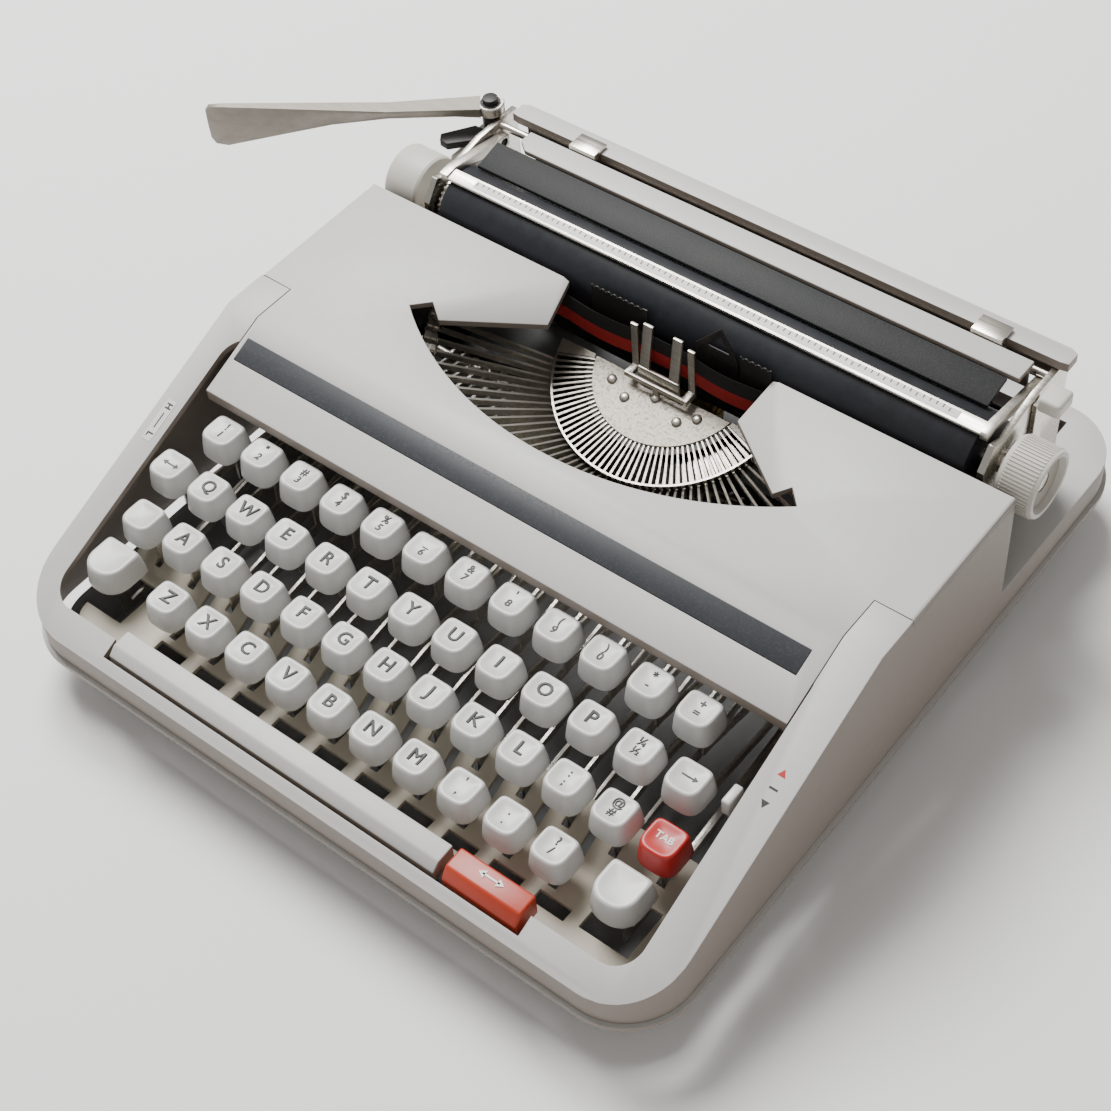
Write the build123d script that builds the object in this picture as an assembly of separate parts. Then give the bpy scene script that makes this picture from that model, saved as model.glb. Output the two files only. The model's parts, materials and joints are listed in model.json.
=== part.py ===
from build123d import *
import math
import os

# Portable manual typewriter, in millimetres.
# +X runs to the typist's right, +Y towards the back of the machine, +Z up.
# The origin is the centre of the four rubber feet, on the plane that they rest on.

# ---- driving dimensions -------------------------------------------------------------------
BODY_WIDTH = 280.0
BODY_DEPTH = 296.0
BODY_CORNER = 25.0
SHELL_BOTTOM_Z = 20.5
FRONT_RIM_Z = 33.0          # height of the front edge of the keyboard slope
CREASE_Y = -22.0            # where the keyboard slope meets the flat top
TOP_Z = 84.0
COVER_REAR_Y = 57.3         # rear edge of the raised top
DECK_Z = 35.0               # low deck beside and behind the carriage
WALL = 2.5

KEY_PITCH = 19.0
KEY_WIDTH = 15.0
KEY_HEIGHT = 9.5
LEVER_THICK = 1.2

PLATEN_Y = 73.25
PLATEN_Z = 78.0
PLATEN_RADIUS = 15.0
PLATEN_LENGTH = 228.0
PLATEN_CENTRE_X = 5.0
SHAFT_RADIUS = 3.5
RUNNING_GAP = 0.06

TYPEBAR_COUNT = 44
TYPEBAR_FAN_DEG = 70.0      # half angle of the fan of typebars
TYPEBAR_PIVOT_RADIUS = 44.0
TYPEBAR_REST_DEG = 32.0     # rise of a resting typebar over the plane of the segment
TYPEBAR_THICK = 1.2
SEGMENT_TILT_DEG = 18.0
PRINT_POINT = (0.0, 53.5, 82.0)
PRINT_HEIGHT = 30.0         # print point over the pivot plane
TYPEBAR_A_INDEX = 21
TYPEBAR_B_INDEX = 24

# ---- derived dimensions -------------------------------------------------------------------
HALF_WIDTH = BODY_WIDTH / 2
FRONT_Y = -BODY_DEPTH / 2
REAR_Y = BODY_DEPTH / 2
SLOPE = (TOP_Z - FRONT_RIM_Z) / (CREASE_Y - FRONT_Y)
TILT = math.radians(SEGMENT_TILT_DEG)
SEGMENT_CENTRE = (
    0.0,
    PRINT_POINT[1] + PRINT_HEIGHT * math.sin(TILT),
    PRINT_POINT[2] - PRINT_HEIGHT * math.cos(TILT),
)
TYPEBAR_LENGTH = math.hypot(TYPEBAR_PIVOT_RADIUS, PRINT_HEIGHT)
SEGMENT_PLANE = Plane(
    origin=SEGMENT_CENTRE,
    x_dir=(1, 0, 0),
    z_dir=(0, -math.sin(TILT), math.cos(TILT)),
)

# Rows of keys: first key centre x, number of keys, row centre y, height of the key tops.
ROWS = {
    1: (-111.4, 12, -60.0, 65.7),
    2: (-101.9, 11, -79.1, 59.2),
    3: (-97.2, 11, -98.2, 52.6),
    4: (-87.7, 10, -117.3, 46.05),
}
KEY_F_INDEX = 3
KEY_J_INDEX = 6
LEVER_PIVOT_Y = 50.0
LEVER_PIVOT_Z = 18.0


# ---- helpers ------------------------------------------------------------------------------
def block(x, y, z):
    """Box between pairs of x, y and z limits."""
    size = [abs(v[1] - v[0]) for v in (x, y, z)]
    centre = [(v[0] + v[1]) / 2 for v in (x, y, z)]
    return Pos(*centre) * Box(*size)


def rod_x(x0, x1, y, z, r):
    """Round bar along X."""
    return Pos((x0 + x1) / 2, y, z) * Rot(0, 90, 0) * Cylinder(r, abs(x1 - x0))


def rod_y(y0, y1, x, z, r):
    """Round bar along Y."""
    return Pos(x, (y0 + y1) / 2, z) * Rot(90, 0, 0) * Cylinder(r, abs(y1 - y0))


def rod_z(z0, z1, x, y, r):
    """Round bar along Z."""
    return Pos(x, y, (z0 + z1) / 2) * Cylinder(r, abs(z1 - z0))


def plate_yz(points, x0, x1):
    """Side profile of (y, z) points, thick from x0 to x1."""
    return extrude(Plane.YZ.offset(x0) * Polygon(*points, align=None), amount=x1 - x0, dir=(1, 0, 0))


def plate_xy(points, z0, z1):
    """Plan outline of (x, y) points, thick from z0 to z1."""
    return extrude(Plane.XY.offset(z0) * Polygon(*points, align=None), amount=z1 - z0, dir=(0, 0, 1))


def strip_yz(points, height, x, thick):
    """Lever of sheet metal that follows (y, z) points, with its lower edge on them."""
    upper = [(y, z + height) for y, z in reversed(points)]
    return plate_yz(points + upper, x - thick / 2, x + thick / 2)


def rounded_prism(width, depth, radius, z0, z1, centre_x=0.0, centre_y=0.0):
    """Upright prism with a rounded rectangular outline."""
    outline = Plane.XY.offset(z0) * Pos(centre_x, centre_y) * RectangleRounded(width, depth, radius)
    return extrude(outline, amount=z1 - z0, dir=(0, 0, 1))


def slope_z(y):
    """Height of the keyboard slope at y."""
    return FRONT_RIM_Z + SLOPE * (y - FRONT_Y)


# ---- casing -------------------------------------------------------------------------------
def body_profile(inset):
    """Side profile of the casing, drawn in by inset."""
    crease_shift = inset * math.tan(math.atan(SLOPE) / 2)
    front = FRONT_Y + inset
    drop = inset / math.cos(math.atan(SLOPE))
    return [
        (front, SHELL_BOTTOM_Z - 1 if inset else SHELL_BOTTOM_Z),
        (front, slope_z(front) - drop if inset else FRONT_RIM_Z),
        (CREASE_Y + crease_shift, TOP_Z - inset),
        (COVER_REAR_Y, TOP_Z - inset),
        (COVER_REAR_Y, DECK_Z - inset),
        (REAR_Y - inset, DECK_Z - inset),
        (REAR_Y - inset, SHELL_BOTTOM_Z - 1 if inset else SHELL_BOTTOM_Z),
    ]


def casing_solid(inset):
    """Closed casing form, drawn in by inset."""
    form = plate_yz(body_profile(inset), -HALF_WIDTH + inset, HALF_WIDTH - inset)
    outline = rounded_prism(
        BODY_WIDTH - 2 * inset, BODY_DEPTH - 2 * inset, BODY_CORNER - inset, 0, TOP_Z + 10
    )
    return form & outline


def window_outline():
    """Outline of the window over the typebars, as a face on the top plane."""
    ear = (45, 60)
    ear_tip = (78, 20)
    tip = (84, 14)
    arc_centre_y = 121.0
    arc_radius = 136.0
    front_mid = (0, arc_centre_y - arc_radius)
    arc = ThreePointArc(tip, front_mid, (-tip[0], tip[1]))
    rim = Polyline((-tip[0], tip[1]), (-ear_tip[0], ear_tip[1]), (-ear[0], ear[1]), ear, ear_tip, tip)
    return make_face(arc.edges() + rim.edges())


def window_cutter(z0, z1):
    """Upright prism through the typebar window."""
    return extrude(Pos(0, 0, z0) * window_outline(), amount=z1 - z0, dir=(0, 0, 1))


COVER_FRONT_Y = -52.3
COVER_STEP_Y = -4.4
COVER_FRONT_HALF = 125.5
COVER_GAP = 0.3


def cover_footprint(grow):
    """Plan of the lift-off ribbon cover, grown all round by grow."""
    w = COVER_FRONT_HALF + grow
    narrow = block((-w, w), (COVER_FRONT_Y - grow, COVER_REAR_Y + 5), (20, 120))
    wide = block((-150, 150), (COVER_STEP_Y - grow, COVER_REAR_Y + 5), (20, 120))
    return narrow + wide


def body_shell():
    outer = casing_solid(0)
    flange = rounded_prism(BODY_WIDTH + 3, BODY_DEPTH + 3, BODY_CORNER + 1.5, SHELL_BOTTOM_Z, 22.5)
    shell = (outer + flange) - casing_solid(WALL)
    # the top skin over the typebars belongs to the cover
    skin_top = block((-150, 150), (-60, COVER_REAR_Y + 0.01), (TOP_Z - 40, TOP_Z + 5))
    cover_zone = casing_solid(0) - casing_solid(WALL + COVER_GAP)
    side_walls = (block((-HALF_WIDTH, -HALF_WIDTH + WALL), (-60, 60), (0, TOP_Z - WALL - COVER_GAP))
                  + block((HALF_WIDTH - WALL, HALF_WIDTH), (-60, 60), (0, TOP_Z - WALL - COVER_GAP)))
    shell -= (cover_zone & cover_footprint(COVER_GAP) & skin_top) - side_walls
    # keyboard well, with the notch for the space bar in front of it
    well = rounded_prism(255.5, 107, 10, 20, 90, centre_x=-1.75, centre_y=-83.5)
    notch = block((-95.5, 89.5), (-143.8, -130), (26, 90))
    notch &= plate_yz([(-143.8, 31), (-143.8, 60), (-130, 60), (-130, 31)], -120, 120)
    shell -= well
    shell -= notch
    # carriage well in the low deck
    shell -= block((-118, 118), (COVER_REAR_Y - 1, 140), (30, DECK_Z + 1))
    return shell


def ribbon_cover():
    """Lift-off cover: a wide top plate with a narrower sloping apron towards the keys."""
    lip_y = COVER_FRONT_Y + 2
    lip_z = slope_z(COVER_FRONT_Y) - 4.5
    drop = WALL / math.cos(math.atan(SLOPE))
    inner_crease_y = CREASE_Y + WALL * math.tan(math.atan(SLOPE) / 2)
    apron = [
        (COVER_FRONT_Y, lip_z),
        (COVER_FRONT_Y, slope_z(COVER_FRONT_Y)),
        (CREASE_Y, TOP_Z),
        (COVER_REAR_Y, TOP_Z),
        (COVER_REAR_Y, TOP_Z - WALL),
        (inner_crease_y, TOP_Z - WALL),
        (lip_y, slope_z(lip_y) - drop),
        (lip_y, lip_z),
    ]
    cover = plate_yz(apron, -COVER_FRONT_HALF, COVER_FRONT_HALF)
    cover += block((-HALF_WIDTH, HALF_WIDTH), (COVER_STEP_Y, COVER_REAR_Y), (TOP_Z - WALL, TOP_Z))
    cover -= window_cutter(60, 100)
    for sign in (-1, 1):
        cover += ear_facet(sign)
    return cover - trim_groove(0)


def ear_facet(sign):
    """Facet that falls from the slanting edge of one ear towards the typebars."""
    rear = Vector(sign * 45, 60, TOP_Z)
    along = Vector(sign * 33, -40, 0)
    down = Vector(-sign * 3.3, -19.6, -8)
    loop = Polyline(rear, rear + along, rear + along * 0.88 + down * 0.43, rear + down, close=True)
    facet = extrude(make_face(loop.edges()), amount=WALL, dir=(0, 0, -1))
    return facet & block((-80, 80), (0, COVER_REAR_Y), (60, TOP_Z))


STRIP_Y = (-38.7, -30.0)
STRIP_X = (-123.5, 119.5)
STRIP_DEPTH = 0.6


def trim_groove(inset):
    """Prism over the slope that the dark strip sits in, drawn in by inset."""
    y0, y1 = STRIP_Y[0] + inset, STRIP_Y[1] - inset
    points = [(y0, slope_z(y0) - STRIP_DEPTH), (y0, 90), (y1, 90), (y1, slope_z(y1) - STRIP_DEPTH)]
    return plate_yz(points, STRIP_X[0] + inset, STRIP_X[1] - inset)


def cover_strip():
    y0, y1 = STRIP_Y
    proud = 0.25
    below = plate_yz([(y0 - 1, slope_z(y0 - 1) + proud), (y0 - 1, 40), (y1 + 1, 40),
                      (y1 + 1, slope_z(y1 + 1) + proud)], -130, 130)
    return trim_groove(0.05) & below


CENTRE_BOSS_RADIUS = 9.0


def base_pan():
    """Tapered tray, with a centre boss level with the feet."""
    floor_z = 4.0
    outer = loft([
        Plane.XY.offset(floor_z) * RectangleRounded(BODY_WIDTH - 26, BODY_DEPTH - 26, BODY_CORNER - 8),
        Plane.XY.offset(SHELL_BOTTOM_Z) * RectangleRounded(BODY_WIDTH - 12, BODY_DEPTH - 12, BODY_CORNER - 5),
    ])
    inner = loft([
        Plane.XY.offset(floor_z + 1.5) * RectangleRounded(BODY_WIDTH - 29, BODY_DEPTH - 29, BODY_CORNER - 10),
        Plane.XY.offset(SHELL_BOTTOM_Z + 1) * RectangleRounded(BODY_WIDTH - 15, BODY_DEPTH - 15, BODY_CORNER - 7),
    ])
    boss = Pos(0, 0, (floor_z + 0.5) / 2) * Cylinder(CENTRE_BOSS_RADIUS, floor_z + 0.5)
    return outer - inner + boss


FOOT_X = 108.0
FOOT_Y = 115.0


def rubber_feet():
    feet = []
    for x in (-FOOT_X, FOOT_X):
        for y in (-FOOT_Y, FOOT_Y):
            feet.append(Pos(x, y, 2.0) * Cone(9.0, 10.5, 4.0))
    return feet


def keyboard_plate():
    profile = [(-135.5, 24), (-135.5, 26), (-106, 26), (-90, 34), (-90, 32), (-106, 24)]
    plate = plate_yz(profile, -125, 125)
    plate &= rounded_prism(250, 110, 9, 0, 60, centre_y=-80.5)
    for row in (3, 4):
        x0, count, y, top = ROWS[row]
        for i in range(count):
            x = x0 + i * KEY_PITCH
            plate -= block((x - 1.6, x + 1.6), (y - 3, y + 30), (15, 45))
    x0, count, y, top = ROWS[4]
    for i in range(count):
        x = x0 + i * KEY_PITCH + 4
        plate -= block((x - 6.5, x + 6.5), (y - 10.6, y - 5.6), (15, 45))
    for x, y in SHIFT_PLACES:
        plate -= block((x - 9.5, x + 9.5), (y - 10, y + 9), (15, 45))
    for x in (TAB_X, LOCK_LEVER_X):
        plate -= block((x - 1.6, x + 1.6), (-101, -70), (15, 45))
    for x in SPACE_LEGS_X + REPEAT_LEGS_X:
        plate -= block((x - 1.6, x + 1.6), (-136, -131.5), (15, 45))
    return plate


# ---- keys ---------------------------------------------------------------------------------
SHIFT_PLACES = ((-117.5, -116.3), (108.4, -116.5))
LOCK_PLACE = (-117.5, -98.2)
LOCK_LEVER_X = -114.2
SHIFT_LEVERS_X = (-117.5, 109.8)
MARGIN_KEY_PLACE = (-120.9, -79.1)
TAB_X = ROWS[3][0] + 11 * KEY_PITCH
BACKSPACE_X = ROWS[2][0] + 11 * KEY_PITCH
SPACE_LEGS_X = (-73.5, 36.0)
REPEAT_LEGS_X = (72.0,)


def keycap(x, y, top, width=KEY_WIDTH, depth=KEY_WIDTH - 0.6):
    """Moulded cap with a straight back and a rounded front, drawn in towards its top."""
    def outline(w, d):
        front = ThreePointArc((-w / 2, -d * 0.22), (0, -d / 2), (w / 2, -d * 0.22))
        sides = Polyline((w / 2, -d * 0.22), (w / 2, d / 2), (-w / 2, d / 2), (-w / 2, -d * 0.22))
        return make_face(front.edges() + sides.edges())
    bottom = Pos(x, y, top - KEY_HEIGHT) * outline(width, depth)
    upper = Pos(x, y + 0.4, top) * outline(width - 3.0, depth - 3.0)
    return loft([bottom.face(), upper.face()])


# Lower edge of the levers of each row, from the knee under the keys to the stem, as (y, z).
LEVER_ROUTES = {
    1: [(-30, 33), (-54, 38)],
    2: [(-30, 33), (-73, 36)],
    3: [(-30, 31), (-80, 24), (-95, 22)],
    4: [(-30, 29), (-84, 20.5), (-114, 16)],
}


def key_lever(x, y, top, row):
    """Sheet metal lever from the pivot shaft to the underside of one cap."""
    half = LEVER_THICK / 2
    route = [(LEVER_PIVOT_Y - 2, LEVER_PIVOT_Z - 1)] + LEVER_ROUTES[row]
    end_y, end_z = route[-1]
    lever = strip_yz(route, 3.5, x, LEVER_THICK)
    stem = block((x - half, x + half), (end_y - 4, end_y + 0.5), (end_z, top - KEY_HEIGHT))
    eye = rod_x(x - half, x + half, LEVER_PIVOT_Y, LEVER_PIVOT_Z, 4.0)
    bore = rod_x(x - 2, x + 2, LEVER_PIVOT_Y, LEVER_PIVOT_Z, 2.0 + RUNNING_GAP)
    return (lever + stem + eye) - bore


def one_key(x, y, top, row, size=(KEY_WIDTH, KEY_WIDTH - 0.6), lever_x=None):
    """Cap and lever of one key, with the lever under the cap or off to one side."""
    return [keycap(x, y, top, *size), key_lever(x if lever_x is None else lever_x, y, top, row)]


def key_row(row):
    x0, count, y, top = ROWS[row]
    solids = []
    for i in range(count):
        if row == 3 and i in (KEY_F_INDEX, KEY_J_INDEX):
            continue
        solids += one_key(x0 + i * KEY_PITCH, y, top, row)
    return solids


def long_key(profile, x0, x1, legs):
    """Wide key on flat legs that slide in the keyboard plate."""
    solids = [plate_yz(profile, x0, x1)]
    for x in legs:
        solids.append(block((x - 1, x + 1), (-135, -132.4), (14, 30)))
    return solids


def space_bar():
    profile = [(-142.6, 30), (-142.6, 35), (-139.3, 38), (-132.2, 38.4), (-132.2, 30)]
    return long_key(profile, -94, 54, SPACE_LEGS_X)


def repeat_space_key():
    profile = [(-142.6, 30), (-142.6, 35), (-139.7, 39.5), (-131.5, 39.8), (-131.5, 30)]
    return long_key(profile, 57, 87.5, REPEAT_LEGS_X)


# ---- frame and mechanism ------------------------------------------------------------------
RAIL_Y = 92.0


def side_plates():
    return [block((x - 1, x + 1), (56, 130), (5.5, 36)) for x in (-115, 115)]


def frame_crossbars():
    """Bars between the side plates, with the two posts under the segment."""
    front = block((-114, 114), (60, 64), (5.5, 14))
    for x in (-22, 22):
        front += block((x - 4, x + 4), (56, 60.5), (5.5, 44))
    rear = block((-114, 114), (122, 126), (8, 30))
    return [front, rear]


def key_pivot_shaft():
    """Shaft that all key levers turn on, in three brackets."""
    shaft = rod_x(-125, 119, LEVER_PIVOT_Y, LEVER_PIVOT_Z, 2.0)
    brackets = []
    for x in (-124.2, 118.0):
        bracket = block((x - 0.6, x + 0.6), (45.5, 54.5), (5.5, 22.5))
        brackets.append(bracket - rod_x(x - 3, x + 3, LEVER_PIVOT_Y, LEVER_PIVOT_Z, 2.0))
    return [shaft] + brackets


def carriage_rail():
    rail = block((-117, 117), (RAIL_Y - 5, RAIL_Y + 5), (36, 42))
    rail -= rod_x(-118, 118, RAIL_Y - 5.4, 40.5, 1.5) + rod_x(-118, 118, RAIL_Y + 5.4, 40.5, 1.5)
    return rail


def segment():
    """Half-round slotted casting that carries the typebars, in the tilted segment plane."""
    body = Cylinder(47, 12) - Cylinder(30, 20)
    body += Pos(0, 0, 1) * (Cylinder(31, 10))
    body -= Pos(0, 50 - 8, 0) * Box(120, 100, 40)
    ring = Cylinder(60, 40) - Cone(54, 40, 20)
    body -= Pos(0, 0, 8) * ring
    for i in range(TYPEBAR_COUNT):
        angle = typebar_angle(i)
        slot = Pos(0, -43, 1.5) * Box(TYPEBAR_THICK + 0.24, 18, 17)
        body -= Rot(0, 0, angle) * slot
    return SEGMENT_PLANE * body


def typebar_angle(i):
    """Angle of a typebar from the front, in degrees, positive to the typist's right."""
    step = 2 * TYPEBAR_FAN_DEG / (TYPEBAR_COUNT - 1)
    return -TYPEBAR_FAN_DEG + i * step


def typebar(i):
    """One typebar at rest: web, pivot end and type slug."""
    length = TYPEBAR_LENGTH
    half = TYPEBAR_THICK / 2
    web = plate_yz([(3, -2.2), (-length + 3, -1.6), (-length + 3, 1.6), (3, 2.2)], -half, half)
    slug = block((-1.5, 1.5), (-length - 1.5, -length + 3), (-2.4, 4.2))
    bar = (web + slug) - rod_x(-3, 3, 0, 0, 1.0 + RUNNING_GAP)
    turned = Rot(-TYPEBAR_REST_DEG, 0, 0) * bar
    placed = Rot(0, 0, typebar_angle(i)) * Pos(0, -TYPEBAR_PIVOT_RADIUS, 0) * turned
    return SEGMENT_PLANE * placed


def typebars():
    return [typebar(i) for i in range(TYPEBAR_COUNT) if i not in (TYPEBAR_A_INDEX, TYPEBAR_B_INDEX)]


def type_guide():
    """Bracket with two bright uprights in front of the ribbon."""
    base = block((-9, 9), (50.2, 51.4), (57, 66))
    for x in (-6.5, 6.5):
        base += plate_yz([(50.2, 64), (51.4, 64), (55, 84), (53.8, 84)], x - 2, x + 2)
    return base


SCALE_Y = 56.9


def line_scales():
    """Toothed line scales beside the print point, and the card finger."""
    scales = []
    for x0, x1 in ((-34, -9), (31, 44)):
        plate = block((x0, x1), (SCALE_Y, SCALE_Y + 0.6), (74, 87.5))
        pitch = 2.6
        for k in range(int((x1 - x0) / pitch)):
            plate -= Pos(x0 + (k + 0.5) * pitch, SCALE_Y, 87.5) * Rot(0, 45, 0) * Box(1.2, 4, 1.2)
        scales.append(plate)
    finger = block((12, 30), (SCALE_Y, SCALE_Y + 0.6), (74, 84))
    finger += extrude(Plane.XZ.offset(-SCALE_Y) * Polygon((12, 84), (30, 84), (23, 96), align=None),
                      amount=0.6, dir=(0, 1, 0))
    finger -= extrude(Plane.XZ.offset(-SCALE_Y + 1) * Polygon((17, 85.5), (26.5, 85.5), (23, 92), align=None),
                      amount=4, dir=(0, 1, 0))
    scales.append(finger)
    return scales


SPOOL_X = 112.0
SPOOL_Y = 24.0
RIBBON_Z = 72.0


def ribbon_cups():
    cups = []
    for s in (-1, 1):
        x = s * SPOOL_X
        cup = rod_z(56, 58, x, SPOOL_Y, 21) + rod_z(58, 66, x, SPOOL_Y, 3)
        cup += rod_z(5.5, 56, s * 123.4, SPOOL_Y, 1.5)
        cups.append(cup)
    return cups


def ribbon_spool(sign):
    x = sign * SPOOL_X
    spool = rod_z(60, 61, x, SPOOL_Y, 20.5) + rod_z(78, 79, x, SPOOL_Y, 20.5)
    spool += rod_z(61, 78, x, SPOOL_Y, 15 if sign > 0 else 12)
    spool -= rod_z(55, 90, x, SPOOL_Y, 3 + RUNNING_GAP)
    return spool


def ribbon():
    """Inked band from spool to spool, in front of the platen."""
    half = 6.35
    y = 55.2
    t = 0.25
    left = (-SPOOL_X + 8, SPOOL_Y + 20.9)
    right = (SPOOL_X - 8, SPOOL_Y + 20.9)
    pts = [left, (-58, y), (58, y), right, (58, y + t), (-58, y + t)]
    return plate_xy(pts, RIBBON_Z - half, RIBBON_Z + half)


def ribbon_vibrator():
    """Fork that lifts the ribbon in front of the type."""
    fork = block((-1.2, 1.2), (48.2, 49.4), (57, 60))
    for x in (-12.5, 12.5):
        fork += block((x - 1.5, x + 1.5), (53.4, 54.6), (62, 82))
        fork += block((x - 1.5, x + 1.5), (48.2, 54.6), (60, 62))
    fork += block((-14, 14), (48.2, 49.4), (60, 62))
    return fork


def colour_selector():
    """Bent wire with a moulded tab, in the slot to the right of the keys."""
    wire = rod_y(-76, -48.4, 122.6, 44, 0.9)
    tab = block((121, 124.2), (-81, -73), (54, 61))
    stem = block((121.8, 123.4), (-78.5, -76), (42, 54))
    eye = rod_x(121.6, 123.6, -46, 44, 3.2) - rod_x(120, 125, -46, 44, 1.5 + RUNNING_GAP)
    return [wire + stem + eye, tab]


def selector_pin():
    return rod_x(119.5, 125, -46, 44, 1.5) + block((119.5, 120.5), (-49, -43), (5.5, 47))


def mainspring_drum():
    drum = rod_z(14, 28, -88, 106, 13)
    drum += rod_z(28, 31, -88, 106, 9)
    drum -= rod_z(10, 40, -88, 106, 2.5 + RUNNING_GAP)
    return drum


def drum_post():
    return rod_z(5.5, 32, -88, 106, 2.5) + rod_z(5.5, 13, -88, 106, 5)


def bell():
    x, y, z = 88, 104, 14
    dome = Pos(x, y, z) * (Sphere(15) - Sphere(13.8)) & block((60, 110), (80, 130), (z, 40))
    return dome + rod_z(5.5, z + 14, x, y, 2)


PINION_RADIUS = 8.0
PINION_Z = 28.8
RACK_Y = 77.0


def escapement_wheel():
    """Star wheel with its pinion under the carriage rack."""
    pinion = rod_y(RACK_Y - 2, RACK_Y + 2, 0, PINION_Z, PINION_RADIUS)
    for k in range(20):
        tooth = Rot(0, k * 18, 0) * Pos(PINION_RADIUS + 0.3, 0, 0) * Box(1.2, 4, 1.0)
        pinion += Pos(0, RACK_Y, PINION_Z) * tooth
    wheel = rod_y(RACK_Y - 6, RACK_Y - 4.5, 0, PINION_Z, 11)
    for k in range(24):
        tooth = Rot(0, k * 15, 0) * Pos(11, 0, 0) * Box(3.0, 1.5, 1.4)
        wheel += Pos(0, RACK_Y - 5.25, PINION_Z) * tooth
    body = pinion + wheel + rod_y(RACK_Y - 6, RACK_Y + 2, 0, PINION_Z, 4)
    return body - rod_y(RACK_Y - 10, RACK_Y + 10, 0, PINION_Z, 2.0 + RUNNING_GAP)


def escapement_bracket():
    bracket = block((-6, 6), (RACK_Y + 3, RACK_Y + 5), (5.5, 35)) + rod_y(RACK_Y - 7, RACK_Y + 4, 0, PINION_Z, 2)
    return bracket


# ---- carriage -----------------------------------------------------------------------------
CARRIAGE_LEFT = -112.0
CARRIAGE_RIGHT = 122.0
END_PLATE_LEFT = (-116.5, -114.0)
END_PLATE_RIGHT = (123.5, 126.0)


LIFT_PINS_X = (-70, 80)
LIFT_PIN_Y = 105.0


def carriage_truck():
    """Channel that runs on the rail."""
    truck = block((CARRIAGE_LEFT, CARRIAGE_RIGHT), (RAIL_Y - 8, RAIL_Y + 8), (42.3, 46))
    truck += block((CARRIAGE_LEFT, CARRIAGE_RIGHT), (RAIL_Y - 8, RAIL_Y - 5.3), (37, 42.3))
    truck += block((CARRIAGE_LEFT, CARRIAGE_RIGHT), (RAIL_Y + 5.3, RAIL_Y + 8), (37, 42.3))
    truck += block((CARRIAGE_LEFT, CARRIAGE_RIGHT), (RACK_Y - 2, RAIL_Y - 8), (43, 45.5))
    for x in LIFT_PINS_X:
        truck += block((x - 4, x + 4), (RAIL_Y + 7, LIFT_PIN_Y + 4), (42.3, 46))
        truck += rod_z(44, 60, x, LIFT_PIN_Y, 2.5)
    return truck


def carriage_rack():
    rack = block((CARRIAGE_LEFT, CARRIAGE_RIGHT), (RACK_Y - 2, RACK_Y + 2), (39.6, 43))
    pitch = 2 * math.pi * PINION_RADIUS / 20
    count = int((CARRIAGE_RIGHT - CARRIAGE_LEFT) / pitch)
    teeth = [Pos(CARRIAGE_LEFT + (k + 0.5) * pitch, RACK_Y, 39.0) * Box(1.1, 4, 1.4) for k in range(count)]
    return rack + teeth


def end_plate(x0, x1):
    profile = [(60, 50), (60, 84), (66, 92), (72, 90), (92, 94), (114, 94), (114, 50)]
    plate = plate_yz(profile, x0, x1)
    plate -= rod_x(x0 - 1, x1 + 1, PLATEN_Y, PLATEN_Z, SHAFT_RADIUS + RUNNING_GAP)
    plate -= rod_x(x0 - 1, x1 + 1, PLATEN_Y, FEED_Z, 2.0 + RUNNING_GAP)
    return plate


FEED_RADIUS = 5.0
FEED_Z = PLATEN_Z - PLATEN_RADIUS - FEED_RADIUS - 0.25


def carriage_end_plates():
    return [end_plate(*END_PLATE_LEFT), end_plate(*END_PLATE_RIGHT)]


def carriage_bed():
    """Cross member between the end plates, under the platen."""
    left, right = END_PLATE_LEFT[1], END_PLATE_RIGHT[0]
    bed = block((left, right), (62, 114), (50, 52))
    bed -= block((left + 30, right - 30), (66, 82), (48, 56))
    for x in LIFT_PINS_X:
        bed -= rod_z(48, 56, x, LIFT_PIN_Y, 2.5 + RUNNING_GAP)
    return bed


def paper_pan():
    """Curved deflector behind and under the platen."""
    outer = rod_x(-107, 117, PLATEN_Y, PLATEN_Z, PLATEN_RADIUS + 2.2)
    pan = outer - rod_x(-108, 118, PLATEN_Y, PLATEN_Z, PLATEN_RADIUS + 1.2)
    keep = block((-108, 118), (PLATEN_Y + 4, 100), (50, 86))
    return pan & keep


def paper_table():
    return plate_yz([(79.2, 92.2), (79.2, 93.6), (91.6, 96.6), (91.6, 95.2)], -105, 115)


def carriage_top_plate():
    plate = plate_xy([(-97, 96), (-92, 92), (119, 92), (119, 102), (-97, 102)], 95.8, 98)
    plate += block((-95, 118), (100.5, 102), (86, 95.8))
    return plate


MARGIN_RAIL_Y = 104.2
MARGIN_RAIL_Z = 92.0


def margin_rail():
    return rod_x(END_PLATE_LEFT[1], END_PLATE_RIGHT[0], MARGIN_RAIL_Y, MARGIN_RAIL_Z, 1.5)


def rear_bar():
    bar = plate_xy([(-110, 107), (-107, 106.4), (126, 106.4), (129, 107), (129, 113), (126, 114.4),
                    (-107, 114.4), (-110, 113)], 94.3, 98)
    bar += block((-108, 122), (112.4, 114.4), (80, 94.3))
    return bar


def margin_stop(x):
    stop = block((x - 6, x + 6), (102.4, 106.0), (89.6, 98.4))
    stop += block((x - 6, x + 6), (102.4, 110.5), (98.4, 99.6))
    return stop - rod_x(x - 8, x + 8, MARGIN_RAIL_Y, MARGIN_RAIL_Z, 1.5 + RUNNING_GAP)


def platen():
    x0 = PLATEN_CENTRE_X - PLATEN_LENGTH / 2
    x1 = PLATEN_CENTRE_X + PLATEN_LENGTH / 2
    return rod_x(x0, x1, PLATEN_Y, PLATEN_Z, PLATEN_RADIUS) - rod_x(x0 - 1, x1 + 1, PLATEN_Y, PLATEN_Z, SHAFT_RADIUS)


def platen_shaft():
    return rod_x(-136, 141, PLATEN_Y, PLATEN_Z, SHAFT_RADIUS)


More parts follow.
